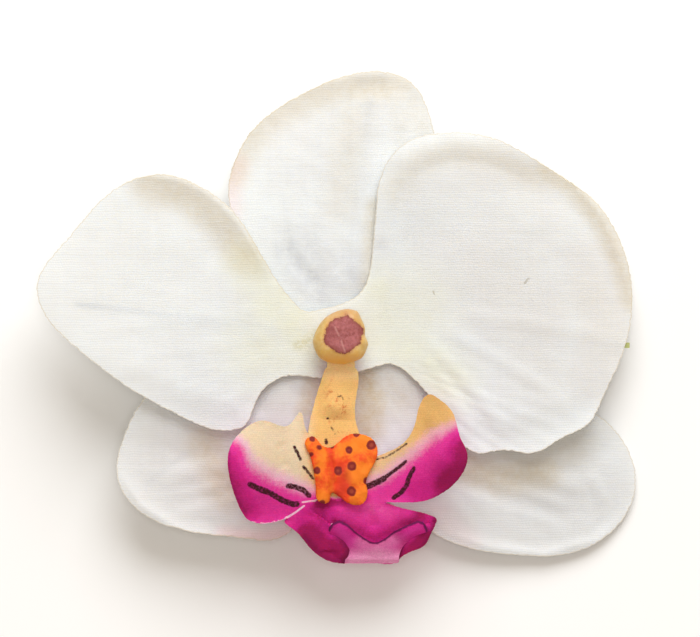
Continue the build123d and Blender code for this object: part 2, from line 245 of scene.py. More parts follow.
def keep_mask(piece, name, values):
    """Store one number per vertex, for the piece's material."""
    layer = piece.data.attributes.new(name, "FLOAT", "POINT")
    layer.data.foreach_set("value", np.asarray(values, np.float32))


def cad_skin(node):
    """Largest underside of a CAD sheet: its border loops in mm and a height finder."""
    shape = bmesh.new()
    shape.from_mesh(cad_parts[node].data)
    bmesh.ops.remove_doubles(shape, verts=shape.verts, dist=WELD * MM)
    shape.verts.index_update()
    for face in shape.faces:
        face.normal_update()
        face.tag = face.normal.z < -UNDERSIDE
    largest, most = [], 0.0
    for seed in shape.faces:
        if not seed.tag:
            continue
        seed.tag = False
        part, area = [seed], 0.0
        for face in part:      # which grows as it is walked
            area += face.calc_area()
            for other in (other for edge in face.edges for other in edge.link_faces):
                if other.tag:
                    other.tag = False
                    part.append(other)
        if area > most:
            largest, most = part, area
    kept = set(largest)
    following = {}
    for face in largest:
        for corner in face.loops:
            if not any(other in kept for other in corner.edge.link_faces if other != face):
                following[corner.vert.index] = corner.link_loop_next.vert.index
    places = [vertex.co / MM for vertex in shape.verts]
    loops = []
    while following:
        start = min(following)
        loop = [start]
        while loop[-1] in following:
            after = following.pop(loop[-1])
            if after == start:
                break
            loop.append(after)
        loops.append(np.array([places[i][:2] for i in loop]))
    loops.sort(key=len, reverse=True)
    tree = BVHTree.FromPolygons(places, [[v.index for v in face.verts] for face in largest])
    shape.free()
    low = min(place.z for place in places) - 1

    def height(points):
        found = []
        for x, y in points:
            hit = tree.ray_cast(Vector((x, y, low)), Vector((0, 0, 1)))[0]
            if hit is None:
                guess = found[-1] if found else low
                for _ in range(3):
                    guess = tree.find_nearest(Vector((x, y, guess)))[0].z
                found.append(guess)
            else:
                found.append(hit.z)
        return np.array(found)

    return loops, height


class Cut:
    """A flat cut of cloth as fine triangles: points, faces and the distance to its rim."""

    def __init__(self, loops, spacing, fray=0.0, seed=1):
        loops = [smooth_loop(loop, spacing * RIM_STEP) for loop in loops]
        if fray:
            draw = np.random.default_rng(seed)
            rim = loops[0]
            tangent = np.roll(rim, -1, axis=0) - np.roll(rim, 1, axis=0)
            normal = np.column_stack([tangent[:, 1], -tangent[:, 0]])
            normal /= np.hypot(*normal.T)[:, None]
            loops[0] = rim + normal * (draw.uniform(-1, 1, len(rim)) * fray)[:, None]
        low, high = loops[0].min(0), loops[0].max(0)
        rise = spacing * math.sqrt(0.75)
        grid = []
        for row in range(int((high[1] - low[1]) / rise) + 1):
            xs = np.arange(low[0] + spacing / 2 * (row % 2), high[0], spacing)
            grid.append(np.column_stack([xs, np.full(len(xs), low[1] + row * rise)]))
        grid = np.vstack(grid)
        grid = grid[inside(grid, loops)]
        clear = np.full(len(grid), FAR)
        for loop in loops:
            clear = np.minimum(clear, along(grid, loop, closed=True)[0])
        grid = grid[clear > spacing * RIM_CLEAR]
        points, edges = [], []
        for loop in loops:
            first = len(points)
            points.extend(loop.tolist())
            count = len(loop)
            edges.extend((first + i, first + (i + 1) % count) for i in range(count))
        points.extend(grid.tolist())
        made = geometry.delaunay_2d_cdt([Vector(p) for p in points], edges, [], 0, 1e-5)
        self.points = np.array([tuple(p) for p in made[0]])
        faces = np.array(made[2])
        middles = self.points[faces].mean(axis=1)
        self.faces = faces[inside(middles, loops)]
        self.rim = along(self.points, loops[0], closed=True)[0]
        corners = self.points[self.faces]
        one, two = corners[:, 1] - corners[:, 0], corners[:, 2] - corners[:, 0]
        self.area = float(np.abs(one[:, 0] * two[:, 1] - one[:, 1] * two[:, 0]).sum() / 2)
        self.size = (high - low).tolist()

    def relax(self, heights, rounds):
        """Even out the facets that a height found on the CAD mesh has."""
        pairs = np.vstack([self.faces[:, [0, 1]], self.faces[:, [1, 2]], self.faces[:, [2, 0]]])
        count = np.bincount(pairs.ravel(), minlength=len(heights))
        count = np.maximum(count, 1)
        for _ in range(rounds):
            total = np.bincount(pairs[:, 0], heights[pairs[:, 1]], len(heights))
            total += np.bincount(pairs[:, 1], heights[pairs[:, 0]], len(heights))
            heights = total / count
        return heights

    def piece(self, name, heights, thickness, masks):
        """The cut pressed to these heights (its underside) and given its thickness."""
        made = piece_from(name, np.column_stack([self.points, heights]), self.faces)
        for mask, values in masks.items():
            keep_mask(made, mask, values)
        edit_all(made, bpy.ops.mesh.normals_make_consistent, inside=False)
        face_up(made)
        finish_with(made, "SOLIDIFY", thickness=thickness * MM, offset=1.0)
        smooth(made, 40)
        return made


FADE = (-0.06, 0.22)       # shares of a fold's path between which it fades in


def tapered(share):
    """Fades a fold towards both ends of its path."""
    return step(share, *FADE) * step(1 - share, *FADE)


def pressed_by(points, heights, folds):
    """Add listed folds: (height, reach, path) each raises or lowers the cloth near a path."""
    for height, reach, path in folds:
        away, _, share = along(points, traced(*path))
        heights = heights + height * bell(away, reach) * tapered(share)
    return heights


def curled(points, heights, curls):
    """Turn rims up: (height, reach, path) each, steepest at the path itself."""
    for height, reach, path in curls:
        away, _, share = along(points, traced(*path))
        heights = heights + height * (1 - np.clip(away / reach, 0, 1)) ** 2 * tapered(share)
    return heights


WRINKLES_START = (7, 15)   # mm from the column's axis, where wrinkles fade in and out
WRINKLES_END = (36, 44)


def spread(points, seed, low, high):
    """Fine wrinkles that spread from the column, between the angles low and high."""
    draw = np.random.default_rng(seed)
    radius = np.hypot(*points.T)
    angle = np.arctan2(points[:, 1], points[:, 0])
    total = np.zeros(len(points))
    for _ in range(7):
        count, phase = draw.uniform(34, 96), draw.uniform(0, math.tau)
        bend = 0.5 * np.sin(radius / draw.uniform(3, 7) + phase)
        total += np.sin(count * angle + phase + bend)
    middle, half = math.radians((low + high) / 2), math.radians((high - low) / 2)
    away = np.abs((angle - middle + math.pi) % math.tau - math.pi)
    fade = step(radius, *WRINKLES_START), 1 - step(radius, *WRINKLES_END)
    return total / 2.6 * bell(away, half) * fade[0] * fade[1]


def patches(points, marks):
    """Soft patches: (strength, reach, path) each; where they overlap the strongest holds."""
    best = np.zeros(len(points))
    for strength, reach, path in marks:
        best = np.maximum(best, strength * bell(away_from(points, *path), reach))
    return best


def nearest_line(points, lines):
    """Distance to the edge of the nearest brush line, (width, path) each, or CLEAR."""
    best = np.full(len(points), CLEAR)
    for width, path in lines:
        best = np.minimum(best, away_from(points, *path) - width / 2)
    return best


# ------------------------------------------------------------------ node helpers
class Nodes:
    """Shorthands for one node tree; each gives the new node's main output."""

    def __init__(self, tree):
        self.tree = tree

    def add(self, kind, *values, **settings):
        made = self.tree.nodes.new("ShaderNode" + kind)
        for name, value in settings.items():
            setattr(made, name, value)
        for socket, value in zip(made.inputs, values):
            self.feed(socket, value)
        return made

    def feed(self, socket, value):
        if isinstance(value, bpy.types.NodeSocket):
            self.tree.links.new(value, socket)
        elif value is not None:
            socket.default_value = value

    def math(self, operation, *values, clamp=False):
        return self.add("Math", *values, operation=operation, use_clamp=clamp).outputs[0]

    def times(self, one, two, clamp=False):
        return self.math("MULTIPLY", one, two, clamp=clamp)

    def scaled(self, value, factor, added):
        return self.math("MULTIPLY_ADD", value, factor, added)

    def mix(self, share, one, two, blend="MIX"):
        made = self.add("Mix", data_type="RGBA", blend_type=blend)
        for index, value in ((0, share), (6, one), (7, two)):
            self.feed(made.inputs[index], value)
        return made.outputs[2]

    def ramp(self, value, low, high, start=0.0, end=1.0):
        """Smooth step from start to end as value goes from low to high."""
        made = self.add("MapRange", value, low, high, start, end)
        made.interpolation_type = "SMOOTHSTEP"
        return made.outputs[0]

    def mask(self, name):
        return self.add("Attribute", attribute_name=name).outputs["Fac"]

    def noise(self, place, scale, detail=3.0, rough=0.5):
        made = self.add("TexNoise")
        self.feed(made.inputs["Vector"], place)
        for name, value in (("Scale", scale), ("Detail", detail), ("Roughness", rough)):
            self.feed(made.inputs[name], value)
        return made.outputs[0]

    def grain(self, place, scale, detail, rough):
        """Noise above and below zero."""
        return self.math("SUBTRACT", self.noise(place, scale, detail, rough), 0.5)

    def mapped(self, place, scale, shift=(0, 0, 0)):
        return self.add("Mapping", place, shift, (0, 0, 0), scale).outputs[0]

    def place(self, scale=(1000, 1000, 1000)):
        """Object coordinates, by default in mm."""
        return self.mapped(self.add("TexCoord").outputs["Object"], scale)

    def bump(self, height, distance, strength=1.0):
        made = self.add("Bump")
        for name, value in (("Strength", strength), ("Distance", distance), ("Height", height)):
            self.feed(made.inputs[name], value)
        return made.outputs[0]

    def skin(self, shader, base, height, depth, strength):
        """Give the shader its colour and a bump of this depth in mm."""
        self.feed(shader["Base Color"], base)
        self.feed(shader["Normal"], self.bump(height, depth * MM, strength))

    def ends(self):
        """A group's input sockets and its output sockets."""
        source = self.tree.nodes.new("NodeGroupInput")
        drain = self.tree.nodes.new("NodeGroupOutput")
        return source.outputs, drain.inputs


def colour(red, green, blue):
    """A colour given as 0-255 screen values, as a linear RGBA."""
    linear = [((c / 255 + 0.055) / 1.055) ** 2.4 if c > 10 else c / 255 / 12.92
              for c in (red, green, blue)]
    return (*linear, 1.0)


# Fixed tints of the materials, given as 0-255 screen values
TINTS = {name: colour(*screen) for name, screen in {
    # silk
    "glue smear": (196, 186, 132), "speck": (150, 140, 120), "rose": (238, 212, 214),
    # the blue-grey is painted shade under the petals' notch, on the sepals
    "painted blue grey shade": (188, 191, 200),
    # lip
    # the pale strap tint is painted light where the column head shades the strap
    "rust": (196, 112, 60), "tan": (196, 154, 92), "painted strap light": (255, 220, 160),
    # the bright pink is a painted highlight on the middle lobe, the dark wine a painted shade
    # along the rolled rims
    "warm pink": (224, 166, 178), "glow": (250, 84, 178), "seam": (98, 10, 56),
    "cut thread and highlight": (244, 196, 218), "fold rim": (198, 34, 126), "fold pale": (238, 160, 200),
    "fold edge": (100, 20, 74),
    # callus
    # the groove's darker red is painted shade, and also the red smear
    "groove": (206, 52, 26), "dot": (128, 30, 26), "dot centre": (176, 74, 48),
    # column
    # the column's orange foot tint is painted light on its side away from the key lamp
    "column cloud": (218, 186, 122), "column top": (196, 150, 102), "column foot painted light": (240, 176, 76),
    "spot halo": (176, 92, 60), "spot pale": (178, 104, 104), "spot rust": (136, 64, 44),
    "scratch": (206, 146, 140), "spot rim": (112, 44, 44),
    # felt, plastic and glue
    "felt dark": (214, 210, 198), "felt light": (240, 238, 230), "green cloud": (178, 184, 116),
    "green worn": (206, 208, 160), "glue": (236, 224, 188), "glue cloud": (222, 206, 160),
    # steel and table
    "nickel": (206, 204, 200), "spring": (176, 174, 172), "steel stain": (150, 146, 140),
    "steel worn": (236, 234, 230), "table": (250, 250, 249),
}.items()}
DIM = (0.76, 0.76, 0.78, 1.0)      # the shade that the lip's right side lobe lies in


def group(name, inputs, outputs):
    """New shader node group with these named sockets: its nodes, and its two ends."""
    tree = bpy.data.node_groups.new(name, "ShaderNodeTree")
    for label, kind in inputs:
        tree.interface.new_socket(label, in_out="INPUT", socket_type="NodeSocket" + kind)
    for label, kind in outputs:
        tree.interface.new_socket(label, in_out="OUTPUT", socket_type="NodeSocket" + kind)
    nodes = Nodes(tree)
    return nodes, nodes.ends()


def use(nodes, name, **values):
    """Place a node group and feed its inputs by name."""
    made = nodes.add("Group", node_tree=bpy.data.node_groups[name])
    for label, value in values.items():
        nodes.feed(made.inputs[label.replace("_", " ").title()], value)
    return made.outputs


def make_groups():
    """Effects that several materials share."""
    nodes, (source, drain) = group(
        "Weave",
        [("Place", "Vector"), ("Pitch", "Float"), ("Wander", "Float")],
        [("Height", "Float"), ("Streak", "Float")],
    )
    wander = nodes.noise(source["Place"], 0.35, 2.0)
    parts = nodes.add("SeparateXYZ", source["Place"]).outputs
    drift = nodes.times(nodes.math("SUBTRACT", wander, 0.5), source["Wander"])
    across = nodes.math("DIVIDE", nodes.math("ADD", parts[0], drift), source["Pitch"])
    down = nodes.math("DIVIDE", nodes.math("ADD", parts[1], drift), source["Pitch"])
    row = nodes.math("FLOOR", down)
    odd = nodes.times(nodes.math("MODULO", row, 2.0), 0.5)
    weft = nodes.math("ABSOLUTE", nodes.math("SINE", nodes.times(down, math.pi)))
    shifted = nodes.times(nodes.math("ADD", across, odd), math.pi)
    warp = nodes.math("ABSOLUTE", nodes.math("SINE", shifted))
    height = nodes.times(weft, nodes.scaled(warp, 0.45, 0.55))
    nodes.feed(drain["Height"], height)
    long_x = nodes.mapped(source["Place"], (0.08, 2.1, 0.3))
    long_y = nodes.mapped(source["Place"], (2.1, 0.08, 0.3), (5, 3, 0))
    streaks = [nodes.times(nodes.noise(long, 1.0, 2.0), share)
               for long, share in ((long_x, 0.65), (long_y, 0.35))]
    nodes.feed(drain["Streak"], nodes.math("ADD", *streaks))

    nodes, (source, drain) = group(
        "Mottle",
        [("Place", "Vector"), ("Size", "Float"), ("Low", "Float"), ("High", "Float")],
        [("Value", "Float")],
    )
    scale = nodes.math("DIVIDE", 1.0, source["Size"])
    value = nodes.noise(source["Place"], scale, 4.0, 0.6)
    made = nodes.add("MapRange", value, 0.3, 0.7, source["Low"], source["High"])
    nodes.feed(drain["Value"], made.outputs[0])

    nodes, (source, drain) = group(
        "Edge wear", [("Radius", "Float"), ("Place", "Vector")], [("Value", "Float")]
    )
    bevel = nodes.add("Bevel", source["Radius"], samples=4)
    true_normal = nodes.add("NewGeometry").outputs["Normal"]
    facing = nodes.add("VectorMath", bevel.outputs[0], true_normal, operation="DOT_PRODUCT")
    edge = nodes.ramp(facing.outputs["Value"], 0.999, 0.94)
    scuff = nodes.ramp(nodes.noise(source["Place"], 1.7, 4.0, 0.7), 0.42, 0.6)
    nodes.feed(drain["Value"], nodes.times(edge, scuff))


def material(name, rough, **settings):
    """New material: (material, nodes, its Principled shader)."""
    made = bpy.data.materials.new(name)
    made.use_nodes = True
    nodes = Nodes(made.node_tree)
    shader = made.node_tree.nodes["Principled BSDF"]
    shader.inputs["Roughness"].default_value = rough
    for label, value in settings.items():
        label = label.replace("_", " ").title().replace("Ior", "IOR")
        shader.inputs[label].default_value = value
    return made, nodes, shader.inputs


def dress(piece, made):
    piece.data.materials.clear()
    piece.data.materials.append(made)


# ------------------------------------------------------------------ properties
def size_property(name, description, default):
    return bpy.props.FloatProperty(
        name=name, description=description, default=default, unit="LENGTH",
        subtype="DISTANCE", min=0.0, precision=5,
    )


def colour_property(name, description, default):
    return bpy.props.FloatVectorProperty(
        name=name, description=description, default=default, subtype="COLOR", size=4,
        min=0.0, max=1.0,
    )


class OrchidSizes(bpy.types.PropertyGroup):
    """Sizes of the cloth that a user may change."""

    cloth: size_property("Petal cloth", "Thickness of petals and sepals", 0.00032)
    lip: size_property("Lip cloth", "Thickness of the lip", 0.0003)
    weave: size_property("Weave pitch", "Distance between threads", 0.0004)
    petal_grid: size_property("Petal grid", "Point spacing on the petals", 0.00045)
    lip_grid: size_property("Lip grid", "Point spacing on the lip", 0.00027)


class OrchidColours(bpy.types.PropertyGroup):
    """Colours that a user may change."""

    silk: colour_property("Silk", "Petals and sepals", colour(231, 235, 235))
    ivory: colour_property("Ivory", "Warmer patches of the silk", colour(226, 226, 225))
    # This brown is painted shade in creases, along rims and under overlapping parts, and also the
    # colour of the cut edges.
    tea: colour_property("Tea", "Faint brown of creases and cut edges", colour(206, 190, 160))
    throat: colour_property("Throat", "Green tint round the column", colour(233, 233, 202))
    cream: colour_property("Cream", "Upper part of the lip's side lobes", colour(222, 203, 172))
    gold: colour_property("Gold", "Strap and right side lobe", colour(226, 181, 113))
    pink: colour_property("Pink", "Where the blush begins", colour(226, 184, 198))
    magenta: colour_property("Magenta", "The blush", colour(224, 56, 154))
    plum: colour_property("Plum", "Deeper blush", colour(206, 36, 136))
    # the wine is mostly where painted shade deepens the blush on the rolled rims
    wine: colour_property("Wine", "Deepest blush, on the rolled rims", colour(164, 22, 90))
    lilac: colour_property("Lilac", "Underside of the lip", colour(212, 54, 150))
    ink: colour_property("Ink", "Painted strokes", colour(62, 20, 28))
    orange: colour_property("Orange", "Callus", colour(252, 132, 30))
    # flame is a redder tone at random, and painted shade along the callus's groove
    flame: colour_property("Flame", "Callus in its hollows", colour(242, 70, 26))
    olive: colour_property("Olive", "Column", colour(212, 170, 84))
    spot: colour_property("Spot", "Painted face of the column", colour(150, 78, 76))
    green: colour_property("Green", "Ribs and hub", colour(166, 172, 96))


def size(name):
    """One of the user's sizes, in mm."""
    return getattr(bpy.context.scene.orchid_sizes, name) / MM


def paint(name):
    """One of the user's colours."""
    return tuple(getattr(bpy.context.scene.orchid_colours, name))


# ------------------------------------------------------------------ silk
def silk_material(name, tint):
    """White polyester silk with painted shade in its creases and along its rims; tint(nodes,
    place, colour) adds the piece's own colours, and on the sepals a painted shade.
    """
    made, nodes, shader = material(name, 0.8, specular_ior_level=0.25,
                                   subsurface_weight=0.5, subsurface_scale=0.001)
    shader["Subsurface Radius"].default_value = (1.0, 0.9, 0.75)
    place = nodes.place()
    weave = use(nodes, "Weave", place=place, pitch=size("weave"), wander=0.5)
    ivory = use(nodes, "Mottle", place=place, size=7.0, low=0.0, high=0.5)["Value"]
    ivory = nodes.math("ADD", ivory, nodes.mask("ivory"), clamp=True)
    base = nodes.mix(ivory, paint("silk"), paint("ivory"))
    base = tint(nodes, place, base)
    # painted shade: brown in creases, inside rolled rims and where the petals, lip and column
    # shade the cloth
    tea = nodes.times(nodes.mask("tea"), nodes.ramp(
        nodes.noise(place, 0.9, 5.0, 0.7), 0.25, 0.75, 0.7, 1.25))
    base = nodes.mix(tea, base, paint("tea"))
    # the cut edge's own brown along the rim, in the colour of the painted shade
    base = nodes.mix(nodes.ramp(nodes.mask("rim"), 0.22, 0.08, 0.0, 0.5), base, paint("tea"))
    shade = nodes.scaled(weave["Height"], 0.075, 0.945)
    streak = nodes.ramp(weave["Streak"], 0.3, 0.7, 0.972, 1.012)
    base = nodes.mix(1.0, base, nodes.times(shade, streak), "MULTIPLY")
    total = nodes.math("ADD", weave["Height"], nodes.times(weave["Streak"], 0.9))
    nodes.skin(shader, base, total, 0.025, 0.9)
    return made


def petal_tint(nodes, place, base):
    """Yellow-green round the column, the glue's smear beside it, and two specks."""
    uneven = use(nodes, "Mottle", place=place, size=3.0, low=0.75, high=1.15)["Value"]
    throat = nodes.times(nodes.mask("throat"), uneven, clamp=True)
    base = nodes.mix(throat, base, paint("throat"))
    smear = nodes.times(nodes.mask("smear"), nodes.ramp(
        nodes.noise(place, 2.0, 5.0, 0.7), 0.35, 0.6))
    base = nodes.mix(smear, base, TINTS["glue smear"])
    speck = nodes.ramp(nodes.mask("specks"), 0.08, -0.05)
    return nodes.mix(nodes.times(speck, 0.5), base, TINTS["speck"])


def sepal_tint(nodes, place, base):
    """A breath of rose on parts of the rims and a painted blue-grey shade under the petals'
    notch.
    """
    base = nodes.mix(nodes.mask("rose"), base, TINTS["rose"])
    dull = nodes.times(nodes.mask("dull"), nodes.ramp(
        nodes.noise(place, 0.8, 5.0, 0.7), 0.3, 0.7, 0.5, 1.3))
    return nodes.mix(dull, base, TINTS["painted blue grey shade"])


# Rows of (height or strength, reach, path), in mm and with the path in photo pixels
PETAL_CURLS = [
    # the left petal's upper right rim, then the right petal's right rim
    (1.05, 5.8, (118, 186, 136, 178, 152, 176, 176, 179, 200, 189, 222, 205, 240, 226,
        255, 250, 270, 280)),
    (0.62, 3.4, (480, 134, 520, 148, 560, 168, 600, 212, 622, 260, 634, 320)),
]
PETAL_FOLDS = [
    (-0.22, 4.5, (150, 200, 195, 225, 228, 262)),
    (0.14, 3.4, (250, 300, 262, 325, 256, 345)),
    (0.06, 2.4, (90, 335, 150, 320, 210, 325)),
    (0.05, 2.2, (120, 370, 180, 350, 240, 345)),
    (0.06, 2.0, (200, 400, 230, 375, 270, 355)),
    # edges that lie down on the sepals
    (-0.6, 5.0, (110, 385, 145, 398, 180, 416, 215, 428, 245, 428, 262, 405, 275, 380)),
    (-0.55, 5.0, (455, 430, 470, 441, 500, 447, 540, 438, 575, 425, 602, 402, 615, 375)),
    (-0.4, 4.0, (392, 150, 379, 215, 372, 260, 364, 296)),
    # the rolled upper rim of the right petal, then its low swells
    (0.5, 3.2, (392, 185, 402, 166, 420, 152, 450, 143, 490, 147, 530, 162, 560, 180)),
    (0.25, 2.0, (378, 250, 383, 215, 390, 185, 400, 168)),
    (0.16, 4.0, (500, 205, 557, 225, 586, 258, 604, 320)),
    (0.16, 1.8, (420, 335, 470, 385, 505, 430)),
    (0.15, 1.5, (420, 352, 450, 390, 472, 432)),
    (0.16, 1.8, (440, 328, 510, 366, 570, 405)),
    (0.12, 2.0, (455, 312, 540, 325, 612, 337)),
    (-0.16, 2.4, (432, 362, 475, 410, 495, 440)),
]
PETAL_SPECKS = [
    # (width, path)
    (0.35, (433, 290, 434, 294)),
    (0.4, (525, 283, 529, 278)),
]
PETAL_MARKS = {
    "throat": [
        (0.55, 8.0, (300, 342, 290, 322, 274, 300)),
        (0.5, 6.0, (284, 312, 262, 285, 246, 262)),
        (0.45, 11.0, (300, 345, 262, 350)),
        (0.5, 7.0, (372, 330, 384, 318, 382, 290)),
        (0.55, 8.0, (380, 340, 415, 352, 446, 380)),
        (0.4, 12.0, (380, 320, 410, 310)),
    ],
    "smear": [(0.45, 1.4, (297, 345, 306, 342, 316, 334))],
    "ivory": [
        (0.7, 17.0, (470, 270, 520, 290, 540, 340)),
        (1.0, 9.0, (592, 262, 604, 320, 592, 370)),
        (0.4, 9.0, (430, 180, 500, 175, 560, 220)),
    ],
    # painted shade: brown bands inside the rolled rims and on the right petal's middle
    "tea": [
        (0.38, 5.2, (150, 184, 190, 196, 222, 222, 246, 256)),
        (0.2, 4.0, (395, 190, 416, 162, 452, 152, 492, 156, 534, 176)),
        (0.4, 3.2, (545, 170, 575, 186, 606, 226, 624, 268, 631, 300)),
        (0.1, 8.0, (590, 300, 606, 340)),
        (0.07, 10.0, (500, 280, 530, 320, 540, 370)),
    ],
}


class OrchidPetals(bpy.types.Operator):
    """Two broad silk petals cut from one layer"""

    bl_idname = "orchid.petals"
    bl_label = "Petals"

    def execute(self, context):
        loops, height = cad_skin("petal_cloth")
        cut = Cut(loops, size("petal_grid"), fray=0.09, seed=3)
        xy = cut.points
        z = cut.relax(height(xy), 75)
        z = curled(xy, z, PETAL_CURLS)
        z = pressed_by(xy, z, PETAL_FOLDS)
        z = z + 0.045 * spread(xy, 14, -72, 4) + 0.007 * spread(xy, 15, 130, 230)
        z = z + 0.075 * ripples(xy, 17, 11) + 0.018 * ripples(xy, 5, 12)
        masks = {name: patches(xy, marks) for name, marks in PETAL_MARKS.items()}
        masks["rim"] = cut.rim
        masks["specks"] = nearest_line(xy, PETAL_SPECKS)
        petals = cut.piece("petals", z, size("cloth"), masks)
        dress(petals, silk_material("Petal silk", petal_tint))
        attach(petals, "flower")
        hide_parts("petal_cloth")
        return {"FINISHED"}


SEPAL_CURLS = [
    (0.55, 4.2, (225, 200, 238, 145, 262, 112, 300, 90, 350, 76, 385, 73, 412, 86)),
    (0.5, 2.5, (118, 470, 140, 505, 180, 530, 235, 540, 280, 538)),
    (0.35, 2.0, (440, 530, 490, 548, 545, 555, 600, 540, 628, 510)),
]
SEPAL_FOLDS = [
    # dorsal sepal
    (-0.3, 2.6, (350, 90, 370, 86, 390, 90)),
    (0.25, 2.2, (398, 88, 402, 132)),
    (0.16, 1.8, (320, 280, 325, 200, 335, 130)),
    (-0.2, 2.0, (335, 290, 346, 210, 352, 130)),
    (0.16, 1.6, (300, 270, 290, 200, 300, 150)),
    (-0.25, 1.8, (284, 240, 300, 268, 322, 296)),
    # swells that meet the petals' edges
    (0.9, 7.0, (120, 400, 180, 412, 240, 425, 262, 410)),
    (1.3, 9.0, (430, 425, 470, 436, 540, 430, 600, 400, 620, 385)),
    (0.8, 6.0, (386, 140, 380, 215, 372, 262, 360, 300)),
    (0.55, 4.0, (262, 408, 285, 378, 330, 368, 392, 362, 430, 400)),
    # left sepal
    (0.25, 2.4, (290, 430, 220, 465, 150, 480)),
    (-0.2, 1.8, (280, 470, 220, 495, 170, 505)),
    # right sepal
    (0.3, 2.4, (450, 430, 520, 470, 600, 490)),
    (-0.25, 2.0, (440, 470, 510, 500, 580, 520)),
    (0.2, 1.6, (590, 470, 606, 505)),
]
SEPAL_MARKS = {
    "rose": [
        (0.5, 3.6, (228, 214, 229, 188, 235, 166)),
        (0.7, 3.0, (225, 537, 262, 541, 292, 534)),
        (0.3, 4.0, (440, 515, 468, 540)),
    ],
    # painted shade: blue-grey where the notch between the petals dips
    "dull": [
        (0.4, 4.6, (290, 250, 304, 272, 320, 292)),
        (0.28, 7.0, (300, 250, 330, 290)),
        (0.35, 4.0, (352, 262, 362, 290)),
    ],
    "ivory": [
        (0.4, 16.0, (300, 120, 380, 110)),
        (0.5, 20.0, (180, 470, 260, 500)),
        (0.4, 20.0, (480, 500, 600, 500)),
    ],
    # painted shade: brown along the dorsal sepal's rims and folds, and where the petals, lip and
    # column shade the sepals
    "tea": [
        (0.34, 4.8, (233, 172, 241, 150, 262, 122, 300, 100, 346, 84, 400, 84)),
        (0.42, 3.2, (352, 90, 386, 90)),
        (0.2, 5.0, (352, 120, 348, 150, 338, 206)),
        (0.14, 3.5, (400, 86, 404, 136)),
        (0.2, 4.0, (410, 92, 422, 128)),
        (0.4, 2.4, (374, 206, 371, 240, 368, 288)),
        (0.5, 5.2, (206, 446, 216, 464, 224, 490)),
        (0.12, 8.0, (275, 390, 300, 400)),
        (0.55, 5.0, (468, 468, 500, 478, 545, 472)),
        (0.25, 7.0, (470, 452, 520, 462, 566, 448)),
        (0.6, 3.4, (316, 380, 306, 410)),
        (0.35, 6.0, (385, 385, 400, 400)),
        (0.8, 5.0, (362, 378, 370, 400, 366, 424)),
    ],
}


class OrchidSepals(bpy.types.Operator):
    """Three silk sepals cut from one layer"""

    bl_idname = "orchid.sepals"
    bl_label = "Sepals"

    def execute(self, context):
        loops, height = cad_skin("sepal_cloth")
        cut = Cut(loops, size("petal_grid"), fray=0.09, seed=5)
        xy = cut.points
        z = cut.relax(height(xy), 40)
        z = curled(xy, z, SEPAL_CURLS)
        z = pressed_by(xy, z, SEPAL_FOLDS)
        z = z + 0.08 * ripples(xy, 15, 21) + 0.03 * ripples(xy, 5, 22)
        z = z + 0.02 * (spread(xy, 24, 50, 130) + spread(xy, 25, 190, 350))
        masks = {name: patches(xy, marks) for name, marks in SEPAL_MARKS.items()}
        masks["rim"] = cut.rim
        sepals = cut.piece("sepals", z, size("cloth"), masks)
        dress(sepals, silk_material("Sepal silk", sepal_tint))
        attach(sepals, "flower")
        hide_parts("sepal_cloth")
        return {"FINISHED"}


# ------------------------------------------------------------------ lip
def fuzzy(nodes, place, base, shade, uneven):
    """The colour under the weave's shade, made uneven by the cloth's fuzz."""
    fuzz = nodes.ramp(nodes.noise(place, 5.0, 4.0, 0.8), 0.3, 0.7, 1 - uneven, 1 + uneven)
    return nodes.mix(1.0, base, nodes.times(shade, fuzz), "MULTIPLY")


